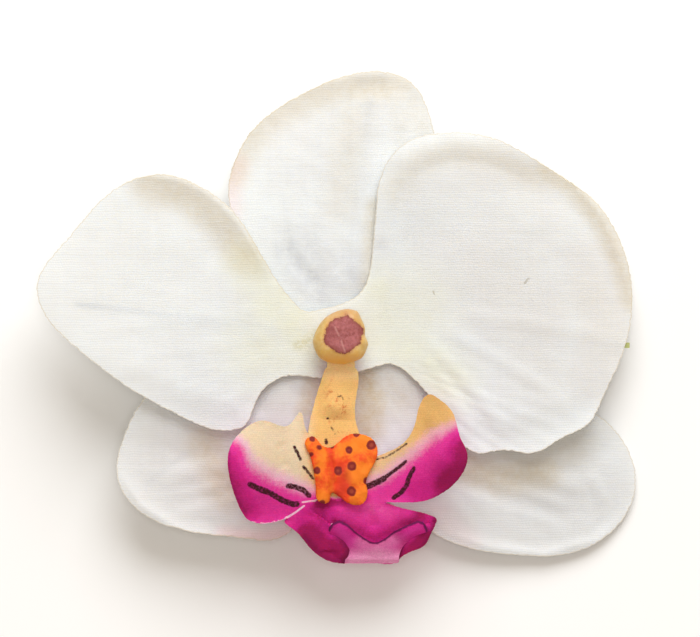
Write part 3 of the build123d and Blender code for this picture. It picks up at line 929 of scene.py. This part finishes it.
def lip_material():
    """Cream to magenta blush with painted brown strokes, painted shade on its rolled rims and
    painted light on the strap's top.
    """
    made, nodes, shader = material("Lip silk", 0.8, specular_ior_level=0.15,
                                   subsurface_weight=0.4, subsurface_scale=0.0006)
    place = nodes.place()
    weave = use(nodes, "Weave", place=place, pitch=0.3, wander=0.4)
    grain = nodes.grain(place, 1.8, 6.0, 0.78)
    blush = nodes.scaled(grain, 0.46, nodes.mask("blush"))
    start = nodes.mix(nodes.mask("gold"), paint("cream"), paint("gold"))
    stain = nodes.ramp(nodes.noise(place, 0.9, 5.0, 0.7), 0.52, 0.68)
    stain = nodes.times(stain, nodes.mask("stain"))
    start = nodes.mix(stain, start, TINTS["rust"])
    start = nodes.mix(nodes.mask("tan"), start, TINTS["tan"])
    # painted light: the strap's top made lighter where the column head shades it
    start = nodes.mix(nodes.mask("light"), start, TINTS["painted strap light"])
    pink = nodes.mix(nodes.mask("gold"), paint("pink"), TINTS["warm pink"])
    base = nodes.mix(nodes.ramp(blush, 0.04, 0.34), start, pink)
    base = nodes.mix(nodes.ramp(blush, 0.26, 0.72), base, paint("magenta"))
    base = nodes.mix(nodes.ramp(blush, 0.74, 1.0), base, paint("plum"))
    # the deepest blush is reached mostly where painted shade deepens it on the rolled rims
    base = nodes.mix(nodes.ramp(blush, 1.0, 1.3), base, paint("wine"))
    # painted highlight: a bright pink sheen on the middle lobe's top
    base = nodes.mix(nodes.mask("glow"), base, TINTS["glow"])
    rough_edge = nodes.scaled(grain, 0.7, nodes.mask("ink"))
    stroke = nodes.ramp(rough_edge, 0.1, -0.1)
    fade = nodes.ramp(nodes.noise(place, 2.6, 3.0, 0.6), 0.3, 0.55, 0.72, 1.0)
    base = nodes.mix(nodes.times(stroke, fade), base, paint("ink"))
    # painted shade: dark wine along the rolled rims and folds
    seam = nodes.times(nodes.mask("seam"), nodes.ramp(grain, -0.25, 0.2, 0.7, 1.0))
    base = nodes.mix(seam, base, TINTS["seam"])
    # pale cut edges, and a painted highlight on the left ear's top
    cut_edge_and_highlight = nodes.ramp(nodes.mask("cut"), 0.1, -0.02)
    base = nodes.mix(cut_edge_and_highlight, base, TINTS["cut thread and highlight"])
    under = nodes.add("NewGeometry").outputs["Normal"]
    downward = nodes.ramp(nodes.add("SeparateXYZ", under).outputs[2], -0.1, -0.3)
    base = nodes.mix(nodes.times(downward, 0.8), base, paint("lilac"))
    base = fuzzy(nodes, place, base, nodes.scaled(weave["Height"], 0.1, 0.94), 0.12)
    base = nodes.mix(nodes.mask("dim"), base, DIM, "MULTIPLY")
    nodes.skin(shader, base, weave["Height"], 0.02, 0.8)
    return made


def fold_material():
    """Paler underside of the lip's folded tip, dark along its cut edge."""
    made, nodes, shader = material("Lip underside", 0.8, specular_ior_level=0.15)
    place = nodes.place()
    weave = use(nodes, "Weave", place=place, pitch=0.24, wander=0.6)
    grain = nodes.grain(place, 1.6, 6.0, 0.75)
    edge = nodes.scaled(grain, 0.8, nodes.mask("rim"))
    base = nodes.mix(nodes.ramp(edge, 1.3, 0.2), paint("lilac"), TINTS["fold rim"])
    pale = nodes.times(nodes.mask("pale"), nodes.ramp(grain, -0.3, 0.15, 0.6, 1.0))
    base = nodes.mix(pale, base, TINTS["fold pale"])
    dark = nodes.scaled(grain, 0.3, nodes.mask("edge"))
    base = nodes.mix(nodes.ramp(dark, 0.42, 0.16), base, TINTS["fold edge"])
    base = fuzzy(nodes, place, base, nodes.scaled(weave["Height"], 0.16, 0.9), 0.16)
    nodes.skin(shader, base, weave["Height"], 0.02, 0.7)
    return made


BLUSH_LINES = [
    # (half width of the change, path with the magenta on its right)
    (3.7, (216, 436, 238, 451, 254, 465, 273, 477, 293, 485, 314, 492)),
    (3.3, (366, 484, 386, 477, 402, 464, 418, 451, 436, 436, 468, 424)),
]
DEEP_LINES = [
    # (depth, reach, path): where the blush deepens or clears; on the rolled ears, along the
    # fold's edge and under the callus this is painted shade, and the line that clears is a
    # painted highlight
    (0.34, 3.6, (234, 448, 228, 466, 236, 496, 244, 508)),
    (0.5, 4.6, (468, 444, 466, 464, 454, 480)),
    (0.24, 4.6, (448, 487, 420, 500)),
    # painted shade on the left ear's roll
    (0.62, 4.0, (304, 541, 318, 549, 336, 554)),
    (0.24, 3.6, (320, 506, 316, 524)),
    # painted shade on the right ear's roll
    (0.55, 2.4, (424, 540, 412, 550, 402, 558)),
    (0.30, 1.5, (437, 520, 431, 535)),
    # painted shade cast by the fold's free edge
    (0.26, 1.6, (336, 520, 356, 527, 376, 538, 396, 526, 420, 516)),
    # painted highlight: the sheen on the middle lobe's top
    (-0.26, 2.6, (368, 507, 388, 512)),
    # painted shade under the callus's lower edge
    (0.40, 1.2, (366, 497, 344, 500, 318, 502)),
]
INK_LINES = [
    # (width, path) of each painted stroke
    (0.95, (250, 483, 258, 487, 270, 492, 282, 499, 293, 503.5, 297, 503)),
    (0.85, (288, 485, 295, 486, 303, 489, 309, 495)),
    (0.55, (294, 447, 297, 452)),
    (0.45, (297, 453, 300, 459)),
    (0.45, (303, 466, 308, 472, 313, 478)),
    (0.28, (376, 459, 385, 457, 393, 453, 400, 448, 407, 443)),
    (0.95, (367, 486, 376, 482, 384, 478)),
    (0.60, (384, 478, 393, 471, 400, 466, 406, 461)),
    (0.75, (394, 497, 401, 492, 407, 484, 409, 477, 412, 471, 414, 468)),
    (0.42, (328, 418)),
    (0.26, (331, 427, 333, 430)),
    (0.22, (335, 434)),
    (0.20, (337, 397, 341, 396, 343, 400)),
    (0.55, (326, 440, 326, 443)),
]
EAR_EDGES = [
    # (height, reach, path): rolled rims of the middle lobe, steep on the path's left
    (1.5, 6.5, (331, 526, 340, 533, 347, 541, 350, 549, 348, 556, 343, 563)),
    (1.3, 4.5, (398, 558, 401, 548, 404, 540, 410, 532, 420, 526, 428, 524)),
]


def rolled(points, edges):
    """Height of rims that roll up to an edge path and drop steeply beyond it."""
    total = np.zeros(len(points))
    for height, reach, path in edges:
        away, side, share = along(points, traced(*path))
        crown = np.clip(away, 0, 1)
        crown = np.sqrt(1 - (1 - crown) ** 2)
        taper = np.sin(math.pi * np.clip(share, 0.04, 0.96)) ** 0.4
        total += np.where(side < 0, height * crown * bell(away, reach) * taper, 0.0)
    return total


LIP_FOLDS = [
    (0.35, 1.6, (340, 506, 338, 522)),
    (-0.4, 2.0, (362, 506, 374, 530)),
    (0.5, 2.2, (400, 512, 428, 520)),
    (-0.35, 1.6, (318, 500, 312, 520)),
    (0.25, 1.6, (250, 440, 262, 470, 262, 500)),
    (-0.25, 1.8, (280, 440, 285, 470)),
    (0.3, 2.0, (430, 410, 440, 440, 436, 470)),
    (1.6, 4.0, (342, 352, 341, 372, 338, 392, 336, 420)),
]
LIP_RIM_SHADES = [
    # painted shade: dark lines along the rolled rims and folds
    (1.0, 1.3, (343, 562, 349, 555, 350, 549, 346, 541, 338, 533)),
    (0.55, 1.2, (304, 537, 318, 552, 330, 561, 343, 563)),
    (0.85, 0.8, (399, 560, 401, 548, 406, 538, 416, 531, 426, 529)),
    (0.6, 0.9, (437, 518, 432, 533, 424, 546, 404, 559)),
    (0.5, 0.5, (468, 440, 468, 458, 462, 476, 448, 490, 430, 500)),
    (0.4, 0.4, (230, 448, 229, 470, 236, 495, 246, 512)),
    (0.22, 1.2, (312, 508, 322, 512, 326, 524)),
]
LIP_CUTS_AND_HIGHLIGHT = [
    # pale cut edges that show their threads, and a painted highlight on the left ear's top
    (0.12, (252, 521, 266, 523, 282, 519)),
    # painted highlight on the left ear's top
    (0.5, (332, 524)),
    (0.24, (284, 518, 296, 511, 304, 505)),
    (0.2, (302, 501.5, 317, 499)),
]
FOLD_EDGE = (
    # free edge of the folded tip
    329, 529, 333, 523, 340, 521, 348, 525, 355, 531, 362, 536, 370, 541, 377, 542, 385, 538,
    393, 532, 402, 527, 412, 523, 418, 521, 424, 523, 427, 530,
)
FOLD_RIM = (
    338, 562, 344, 552, 341, 543, 334, 535, *FOLD_EDGE, 423, 532, 411, 537, 402, 547, 399, 556,
    398, 561.5, 385, 562.5, 365, 563, 350, 563,
)
FOLD_LIFTS = [
    # (height, reach, path): the free edge's two corners
    (0.9, 2.6, (336, 523, 344, 526)),
    (1.0, 2.6, (404, 527, 424, 524)),
]
FOLD_PALE = [
    (0.95, 3.2, (354, 561, 378, 556, 396, 561)),
    (0.25, 4.0, (366, 552, 390, 548)),
    (0.4, 2.2, (362, 543, 378, 548, 392, 541)),
]


def lip_masks(xy):
    """Where the lip is painted, stained, shaded and cut."""
    x, y = xy.T
    blush = np.zeros(len(xy))
    for width, path in BLUSH_LINES:
        path = traced(*path)
        away, side, _ = along(xy, path)
        near = (x < 0) if path[0][0] < 0 else (x >= 0)
        blush = np.where(near, 0.84 * step(-side * away, -width, width), blush)
    middle = step(-y, 26.2, 28.0) * (1 - step(-x, 7.0, 11.0) * step(y, -31.5, -29.5))
    blush = np.maximum(blush, middle * 0.9)
    strap = (1 - step(np.abs(x + 1.2), 3.4, 4.4)) * (1 - step(-y, 22.0, 26.0))
    blush = blush * (1 - strap)
    for depth, reach, path in DEEP_LINES:
        blush = blush + depth * bell(away_from(xy, *path), reach)
    return {
        "blush": blush,
        "gold": step(x, -7.5, -3.5) * (1 - 0.45 * step(-y, 15.0, 21.0) * step(x, 3.0, 6.0)),
        "ink": nearest_line(xy, INK_LINES),
        "cut": nearest_line(xy, LIP_CUTS_AND_HIGHLIGHT),
        "seam": patches(xy, LIP_RIM_SHADES),
        "stain": strap * bell(away_from(xy, 334, 380, 340, 400, 336, 425), 3.0),
        "tan": patches(xy, [(0.7, 5.0, (426, 396, 428, 424))]),
        # painted light on the strap's top, under the column head
        "light": patches(xy, [(1.0, 3.4, (330, 366, 352, 366))]),
        # painted highlight on the middle lobe's top
        "glow": patches(xy, [(0.35, 4.6, (356, 508, 394, 508))]),
        "dim": 0.5 * step(x, 13.0, 18.0),
    }


def folded_tip(height):
    """The lip's tip, folded up and back over its middle lobe: its cut and its piece."""
    fold = Cut([rounded_loop(traced(*FOLD_RIM), 0.2)], size("lip_grid") * 0.8, seed=9)
    xy = fold.points
    y = xy[:, 1]
    # from the crease at the tip up to the free edge, which stands highest at its middle
    lift = 0.25 + 0.5 * step(y, -37.6, -36.8)
    middle = bell(away_from(xy, 355, 531, 377, 542, 393, 532), 4.0)
    lift += 0.9 * middle * step(y, -37.4, -35.0)
    for rise, reach, path in FOLD_LIFTS:
        lift += rise * bell(away_from(xy, *path), reach)
    z = fold.relax(height(xy), 40) + lift + 0.05 * ripples(xy, 2.5, 33)
    tip = fold.piece("lip_fold", z, size("lip"), {
        "rim": fold.rim, "pale": patches(xy, FOLD_PALE),
        "edge": nearest_line(xy, [(0.0, FOLD_EDGE)]),
    })
    dress(tip, fold_material())
    return fold, tip


class OrchidLip(bpy.types.Operator):
    """Silk lip: strap, two painted side lobes and a middle lobe with its tip folded back"""

    bl_idname = "orchid.lip"
    bl_label = "Lip"

    def execute(self, context):
        loops, height = cad_skin("lip_cloth")
        cut = Cut(loops, size("lip_grid"), fray=0.03, seed=7)
        xy = cut.points
        z = cut.relax(height(xy), 60)
        z = pressed_by(xy, z, LIP_FOLDS) + rolled(xy, EAR_EDGES)
        z = z + 0.06 * ripples(xy, 7, 31) + 0.025 * ripples(xy, 2.2, 32)
        lip = cut.piece("lip", z, size("lip"), lip_masks(xy))
        dress(lip, lip_material())
        fold, tip = folded_tip(height)
        choose(lip)
        tip.select_set(True)
        bpy.ops.object.join()
        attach(lip, "flower")
        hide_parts("lip_cloth")
        return {"FINISHED"}


# ------------------------------------------------------------------ callus
CALLUS_GRID = 0.2          # mm between its points
CALLUS_BODY = 0.9          # mm, its thickness before it is puffed up
CALLUS_ROUND = 0.8         # mm from its rim to its full height
CALLUS_DOTS = [
    # (radius, centre) in pixels
    (3, (312, 438.5)), (2.6, (318.5, 447)), (2.2, (311, 454)), (3.4, (316.5, 469.5)),
    (3.6, (356.5, 433.5)), (4.8, (371.5, 445)), (3.6, (348.5, 450)), (4.6, (351.5, 465.5)),
    (4.2, (337.5, 470)), (4.8, (351, 490)), (3.6, (367, 480)), (3, (322, 502)),
    (2.6, (331, 446)),
]


def callus_material():
    made, nodes, shader = material("Callus", 0.55, specular_ior_level=0.25)
    place = nodes.place()
    grain = nodes.grain(place, 1.5, 5.0, 0.65)
    deep = nodes.scaled(grain, 1.6, nodes.mask("hollow"))
    base = nodes.mix(nodes.ramp(deep, -0.1, 0.9), paint("orange"), paint("flame"))
    # painted shade in the groove, and the red smear, in a darker red
    base = nodes.mix(nodes.mask("groove"), base, TINTS["groove"])
    edge = nodes.scaled(grain, 0.5, nodes.mask("dots"))
    base = nodes.mix(nodes.ramp(edge, 0.14, -0.12), base, TINTS["dot"])
    base = nodes.mix(nodes.ramp(edge, -0.3, -0.6, 0.0, 0.6), base, TINTS["dot centre"])
    bumps = nodes.math("ADD", nodes.noise(place, 2.4, 4.0, 0.6), nodes.noise(place, 7.0, 2.0))
    nodes.skin(shader, base, bumps, 0.14, 0.9)
    return made


class OrchidCallus(bpy.types.Operator):
    """Puffy butterfly-shaped callus with dark dots"""

    bl_idname = "orchid.callus"
    bl_label = "Callus"

    def execute(self, context):
        loops, height = cad_skin("callus")
        cut = Cut(loops, CALLUS_GRID, fray=0.04, seed=13)
        xy = cut.points
        under = cut.relax(height(xy), 60)
        body = piece_from("callus_crest", np.column_stack([xy, under]), cut.faces)
        hollow = 0.3 + 0.35 * ripples(xy, 4.0, 43)
        hollow -= 0.4 * bell(away_from(xy, 364, 440, 352, 456, 360, 486), 2.4)
        # painted shade: deeper flame along the groove between the wings
        hollow += 0.7 * bell(away_from(xy, 330, 447, 336, 470, 342, 500), 1.6)
        groove = bell(away_from(xy, 328, 446, 331, 470, 332, 498), 0.9)
        smear = bell(away_from(xy, 343, 468, 346, 482, 336, 494), 1.6)
        keep_mask(body, "dots", nearest_line(xy, [
            (2 * radius / PX_PER_MM, centre) for radius, centre in CALLUS_DOTS]))
        keep_mask(body, "hollow", hollow)
        # painted shade in the groove between the wings, and a red smear
        keep_mask(body, "groove", np.maximum(0.4 * groove, 0.7 * smear))
        face_up(body)
        count = len(xy)
        finish_with(body, "SOLIDIFY", thickness=CALLUS_BODY * MM, offset=1.0)
        places = places_of(body)
        if len(places) != 2 * count:
            raise RuntimeError("the callus lost its two skins")
        skins = places[:, 2].reshape(2, count)
        upper = int(skins[1].mean() > skins[0].mean())
        puff = 0.4 * np.sqrt(np.clip(cut.rim / CALLUS_ROUND, 0, 1)) - 0.3 * groove
        puff += 0.10 * ripples(xy, 2.4, 41)
        skins[upper] += (puff - 0.2) * MM
        places[:, 2] = skins.ravel()
        move_to(body, places)
        smooth(body, 50)
        dress(body, callus_material())
        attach(body, "flower")
        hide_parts("callus")
        return {"FINISHED"}


# ------------------------------------------------------------------ column
HEAD_DEPTH = 5.6           # mm from the CAD column's top down to the head's underside
HEAD_RISE = 0.1            # mm from there up to the head's top
NECK_RADIUS = 2.2          # mm
PEG_RADIUS = 1.0           # mm
PEG_LEAN = 0.1145          # mm sideways per mm of height, as the upper jaw slopes
HEAD_RIM = traced(
    346, 309, 335, 312, 325, 318, 318, 327, 313.5, 338, 313, 343, 315, 350, 319, 357, 325, 361,
    332, 363, 343, 364, 352, 362, 360, 359, 364, 355, 367, 348, 368, 343, 365, 335, 365, 328,
    362, 320, 358, 312, 354, 310,
)
SPOT_RIM = traced(
    326, 330, 330, 322, 335, 318.5, 341, 318, 346, 314, 350, 317, 356, 322, 362, 327, 364, 332,
    361, 338, 360, 343, 354, 348, 350, 352, 344, 354, 338, 353, 333, 349, 328, 346, 324, 342,
)


def column_material():
    made, nodes, shader = material(
        "Column plastic", 0.42, subsurface_weight=0.25, subsurface_scale=0.0012,
        specular_ior_level=0.4,
    )
    shader["Subsurface Radius"].default_value = (1.0, 0.6, 0.25)
    place = nodes.place()
    cloud = nodes.noise(place, 0.7, 5.0, 0.65)
    base = nodes.mix(nodes.ramp(cloud, 0.35, 0.65), paint("olive"), TINTS["column cloud"])
    up = nodes.add("SeparateXYZ", place).outputs["Y"]
    base = nodes.mix(nodes.ramp(up, 1.0, 4.5, 0.0, 0.75), base, TINTS["column top"])
    # painted light: the head's side towards -Y, away from the key lamp, made lighter and more
    # orange
    base = nodes.mix(nodes.ramp(up, -1.6, -4.2, 0.0, 0.8), base, TINTS["column foot painted light"])
    grain = nodes.grain(place, 1.3, 6.0, 0.7)
    rough_rim = nodes.scaled(grain, 1.3, nodes.mask("spot"))
    spot = nodes.ramp(rough_rim, 0.1, -0.1)
    halo = nodes.ramp(rough_rim, 0.5, 0.1)
    base = nodes.mix(nodes.times(halo, 0.35), base, TINTS["spot halo"])
    painted = nodes.mix(nodes.ramp(nodes.noise(place, 1.1, 6.0, 0.75), 0.4, 0.62),
                        paint("spot"), TINTS["spot pale"])
    rusty = nodes.ramp(nodes.mask("spot"), -0.7, 0.0)
    painted = nodes.mix(nodes.times(rusty, 0.6), painted, TINTS["spot rust"])
    scratch = nodes.ramp(nodes.scaled(grain, 0.2, nodes.mask("scratch")), 0.16, -0.1)
    painted = nodes.mix(nodes.times(scratch, 0.6), painted, TINTS["scratch"])
    dark = nodes.ramp(nodes.mask("spot"), -0.3, 0.05)
    painted = nodes.mix(nodes.times(dark, 0.5), painted, TINTS["spot rim"])
    base = nodes.mix(spot, base, painted)
    nodes.feed(shader["Roughness"], nodes.scaled(spot, 0.3, 0.38))
    rough_spot = nodes.times(spot, nodes.noise(place, 5.0, 3.0, 0.7))
    bumps = nodes.math("ADD", nodes.noise(place, 1.0, 4.0, 0.6), rough_spot)
    nodes.skin(shader, base, bumps, 0.14, 0.8)
    return made


class OrchidColumn(bpy.types.Operator):
    """Moulded column head on its neck and peg"""

    bl_idname = "orchid.column"
    bl_label = "Column"

    def execute(self, context):
        low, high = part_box("column")
        low, top = low[2] / MM, high[2] / MM
        made = column_material()
        head = self.head(top - HEAD_DEPTH, top + HEAD_RISE)
        neck = self.neck(low, top - HEAD_DEPTH)
        for piece in (head, neck):
            dress(piece, made)
            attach(piece, "flower")
        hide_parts("column")
        return {"FINISHED"}

    def head(self, bottom, top):
        """A sphere drawn out to the traced rim, with its painted spot sunk in."""
        rim = rounded_loop(HEAD_RIM, 0.15)
        middle = rim.mean(axis=0)
        angles = np.arctan2(*(rim - middle).T[::-1])
        order = np.argsort(angles)
        radii = np.hypot(*(rim - middle).T)[order]
        bpy.ops.object.select_all(action="DESELECT")
        bpy.ops.mesh.primitive_uv_sphere_add(segments=72, ring_count=40, radius=1.0)
        head = bpy.context.object
        head.name = head.data.name = "column_head"
        places = places_of(head)
        above = places[:, 2] > 0
        turn = np.arctan2(places[:, 1], places[:, 0])
        reach = np.interp(turn, angles[order], radii, period=math.tau)
        across = np.hypot(places[:, 0], places[:, 1])
        full = np.where(above, across**0.75, across**0.9)
        level = np.where(above, np.abs(places[:, 2]) ** 1.3, places[:, 2])
        x = middle[0] + np.cos(turn) * reach * full
        y = middle[1] + np.sin(turn) * reach * full
        z = bottom + (level + 1) / 2 * (top - bottom)
        xy = np.column_stack([x, y])
        within = inside(xy, [np.array(SPOT_RIM)])
        spot = along(xy, SPOT_RIM, closed=True)[0] * np.where(within, -1, 1)
        upper = step(places[:, 2], 0.0, 0.4)
        z -= upper * 0.45 * step(-spot, -0.5, 1.2)
        z += 0.12 * ripples(xy, 3.0, 51) * upper
        move_to(head, np.column_stack([x, y, z]) * MM)
        keep_mask(head, "spot", np.where(above, spot, CLEAR))
        keep_mask(head, "scratch", nearest_line(xy, [(0.22, (335, 327, 341, 340, 345, 352))]))
        smooth(head, 60)
        return head

    def neck(self, low, head_low):
        """The neck and the peg below it, which leans as the upper jaw slopes."""
        bpy.ops.object.select_all(action="DESELECT")
        bpy.ops.mesh.primitive_cylinder_add(vertices=48, radius=1.0, depth=1.0)
        neck = bpy.context.object
        neck.name = neck.data.name = "column_neck"
        edit_all(neck, bpy.ops.mesh.bevel, offset=0.06, segments=3)
        places = places_of(neck)
        peg_low, neck_high = low + 0.3, head_low + 1.2
        level = peg_low + (places[:, 2] + 0.5) * (neck_high - peg_low)
        radius = np.where(level > head_low - 0.6, NECK_RADIUS, PEG_RADIUS)
        cad = places_of(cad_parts["column"]) / MM
        foot = cad[cad[:, 2] < low + 0.4]
        x = foot[:, 0].mean() + places[:, 0] * radius + (level - low) * PEG_LEAN
        move_to(neck, np.column_stack([x, places[:, 1] * radius, level]) * MM)
        for mask in ("spot", "scratch"):
            keep_mask(neck, mask, np.full(len(places), CLEAR))
        smooth(neck, 40)
        return neck


# ------------------------------------------------------------------ felt, glue, ribs
FELT = 1.2                 # mm thick
FELT_GRID = 0.5            # mm between its points


def felt_material():
    made, nodes, shader = material("Felt", 0.95, sheen_weight=0.4, sheen_roughness=0.8)
    place = nodes.place()
    fibre = nodes.noise(place, 2.2, 6.0, 0.75)
    base = nodes.mix(fibre, TINTS["felt dark"], TINTS["felt light"])
    nodes.skin(shader, base, fibre, 0.25, 1.0)
    return made


class OrchidFelt(bpy.types.Operator):
    """Soft felt disc behind the flower"""

    bl_idname = "orchid.felt"
    bl_label = "Felt pad"

    def execute(self, context):
        loops, height = cad_skin("felt_pad")
        cut = Cut(loops[:1], FELT_GRID, fray=0.12, seed=17)
        felt = cut.piece("felt_disc", cut.relax(height(cut.points), 10), FELT, {})
        places = places_of(felt)
        places[:, 2] += 0.02 * ripples(places[:, :2] / MM, 2.0, 61) * MM
        move_to(felt, places)
        finish_with(felt, "BEVEL", width=0.3 * MM, segments=3, limit_method="ANGLE",
                    angle_limit=math.radians(60))
        smooth(felt, 50)
        dress(felt, felt_material())
        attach(felt, "flower")
        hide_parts("felt_pad")
        return {"FINISHED"}


def plastic_material():
    made, nodes, shader = material("Green plastic", 0.42, subsurface_weight=0.1,
                                   subsurface_scale=0.001)
    place = nodes.place()
    cloud = use(nodes, "Mottle", place=place, size=3.0, low=0.0, high=0.5)["Value"]
    base = nodes.mix(cloud, paint("green"), TINTS["green cloud"])
    edge = use(nodes, "Edge wear", radius=0.15 * MM, place=place)["Value"]
    base = nodes.mix(nodes.times(edge, 0.6), base, TINTS["green worn"])
    nodes.skin(shader, base, nodes.noise(place, 2.5, 4.0), 0.05, 0.6)
    return made


def glue_material():
    made, nodes, shader = material("Hot glue", 0.25, transmission_weight=0.35, ior=1.48,
                                   subsurface_weight=0.4, subsurface_scale=0.002)
    place = nodes.place()
    cloud = use(nodes, "Mottle", place=place, size=1.5, low=0.0, high=1.0)["Value"]
    base = nodes.mix(cloud, TINTS["glue"], TINTS["glue cloud"])
    nodes.skin(shader, base, nodes.noise(place, 0.8, 3.0), 0.2, 0.5)
    return made


class OrchidRibs(bpy.types.Operator):
    """Green ribs and hub, and the spot of glue"""

    bl_idname = "orchid.ribs"
    bl_label = "Ribs, hub and glue"

    def execute(self, context):
        green = plastic_material()
        for node in ("petal_spine", "sepal_spine", "calyx_hub"):
            dress(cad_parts[node], green)
        dress(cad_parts["glue_pad"], glue_material())
        return {"FINISHED"}


def steel_material(name, tint, rough):
    made, nodes, shader = material(name, rough, metallic=1.0)
    place = nodes.place()
    brushed = nodes.noise(nodes.place(scale=(300, 4200, 2600)), 1.0, 3.0)
    stain = use(nodes, "Mottle", place=place, size=4.0, low=0.0, high=0.4)["Value"]
    base = nodes.mix(stain, tint, TINTS["steel stain"])
    edge = use(nodes, "Edge wear", radius=0.2 * MM, place=place)["Value"]
    base = nodes.mix(edge, base, TINTS["steel worn"])
    worn = nodes.ramp(brushed, 0.3, 0.7, rough - 0.06, rough + 0.12)
    nodes.feed(shader["Roughness"], worn)
    nodes.skin(shader, base, brushed, 0.01, 0.5)
    return made


class OrchidClip(bpy.types.Operator):
    """Nickel-plated jaws and pin, with their wear"""

    bl_idname = "orchid.clip"
    bl_label = "Clip"

    def execute(self, context):
        steel = steel_material("Nickel plate", TINTS["nickel"], 0.24)
        for node in ("lower_jaw", "upper_jaw", "pivot_pin"):
            dress(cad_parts[node], steel)
        return {"FINISHED"}


class OrchidSpring(bpy.types.Operator):
    """Torsion spring: a smoothed copy of the CAD spring in spring steel"""

    bl_idname = "orchid.spring"
    bl_label = "Spring"

    def execute(self, context):
        bpy.ops.object.select_all(action="DESELECT")
        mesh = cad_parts["torsion_spring"].data.copy()
        mesh.name = "spring"
        spring = bpy.data.objects.new("spring", mesh)
        context.scene.collection.objects.link(spring)
        edit_all(spring, bpy.ops.mesh.remove_doubles, threshold=WELD * MM)
        smooth(spring, 60)
        dress(spring, steel_material("Spring steel", TINTS["spring"], 0.3))
        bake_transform(spring)
        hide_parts("torsion_spring")
        return {"FINISHED"}


# ------------------------------------------------------------------ stage
TABLE_SIZE = 6.0           # metres
LAMPS = (
    # (name, place, diameter, power, tint): a soft key beyond the image's top and a weak
    # one overhead, both aimed at the flower
    ("key", (0.12, 0.92, 0.85), 1.0, 15.3, (0.94, 0.97, 1.0)),
    ("top", (0.0, 0.0, 2.4), 0.6, 9.0, (1.0, 0.985, 0.97)),
)
ROOM_TINT = (1.0, 0.87, 0.73, 1.0)     # warm light from all round
ROOM_POWER = 0.43
CAMERA_DISTANCE = 2.0      # metres above the plane that the photo's scale holds for
PHOTO_PLANE = 0.010        # metres above the table
SENSOR = 36.0              # mm


def lamp(name, place, size, power, tint):
    """A round lamp aimed at the origin."""
    bpy.ops.object.light_add(type="AREA", location=place)
    made = bpy.context.object
    made.name = name
    made.data.shape = "DISK"
    made.data.size = size
    made.data.energy = power
    made.data.color = tint
    made.rotation_euler = (-Vector(place)).to_track_quat("-Z", "Y").to_euler()


class OrchidStage(bpy.types.Operator):
    """White table, soft light and the camera straight above"""

    bl_idname = "orchid.stage"
    bl_label = "Stage"

    def execute(self, context):
        scene = context.scene
        scene.view_settings.view_transform = "Standard"
        bpy.ops.object.select_all(action="DESELECT")
        bpy.ops.mesh.primitive_plane_add(size=TABLE_SIZE, location=(0, 0, 0))
        floor = context.object
        floor.name = "table"
        made, nodes, shader = material("White table", 0.9, specular_ior_level=0.1)
        shader["Base Color"].default_value = TINTS["table"]
        dress(floor, made)

        world = bpy.data.worlds.new("Soft room")
        scene.world = world
        world.use_nodes = True
        nodes = Nodes(world.node_tree)
        background = world.node_tree.nodes["Background"]
        path = nodes.add("LightPath").outputs
        seen = nodes.math("MAXIMUM", path["Is Camera Ray"], nodes.math(
            "MAXIMUM", path["Is Glossy Ray"], path["Is Transmission Ray"]))
        nodes.feed(background.inputs["Color"], nodes.mix(seen, ROOM_TINT, (1, 1, 1, 1)))
        nodes.feed(background.inputs["Strength"],
                   nodes.scaled(seen, 1 - ROOM_POWER, ROOM_POWER))

        for settings in LAMPS:
            lamp(*settings)

        data = bpy.data.cameras.new("camera")
        camera = bpy.data.objects.new("camera", data)
        scene.collection.objects.link(camera)
        data.sensor_width = SENSOR
        data.lens = SENSOR * CAMERA_DISTANCE / (PHOTO_WIDTH / PX_PER_MM * MM)
        x = (PHOTO_WIDTH / 2 - AXIS_PX[0]) / PX_PER_MM * MM
        y = (AXIS_PX[1] - PHOTO_HEIGHT / 2) / PX_PER_MM * MM
        camera.location = (x, y, PHOTO_PLANE + CAMERA_DISTANCE)
        data.clip_start, data.clip_end = 0.05, 20.0
        scene.camera = camera
        return {"FINISHED"}


class OrchidPanel(bpy.types.Panel):
    """Lists the pieces of the orchid clip and their settings"""

    bl_idname = "ORCHID_PT_pieces"
    bl_label = "Orchid clip"
    bl_space_type = "VIEW_3D"
    bl_region_type = "UI"
    bl_category = "Orchid"

    def draw(self, context):
        for piece in PIECES:
            self.layout.operator(piece.bl_idname)
        for settings in (context.scene.orchid_sizes, context.scene.orchid_colours):
            box = self.layout.box()
            for name in settings.__annotations__:
                box.prop(settings, name)


PIECES = (
    OrchidStage, OrchidSepals, OrchidPetals, OrchidLip, OrchidCallus, OrchidColumn,
    OrchidFelt, OrchidRibs, OrchidClip, OrchidSpring,
)
CLASSES = (OrchidSizes, OrchidColours, *PIECES, OrchidPanel)


def register():
    for made in CLASSES:
        bpy.utils.register_class(made)
    bpy.types.Scene.orchid_sizes = bpy.props.PointerProperty(type=OrchidSizes)
    bpy.types.Scene.orchid_colours = bpy.props.PointerProperty(type=OrchidColours)


def unregister():
    del bpy.types.Scene.orchid_sizes
    del bpy.types.Scene.orchid_colours
    for made in reversed(CLASSES):
        bpy.utils.unregister_class(made)


def main():
    register()
    make_groups()
    for piece in PIECES:
        family, name = piece.bl_idname.split(".")
        getattr(getattr(bpy.ops, family), name)()


if __name__ == "__main__":
    main()
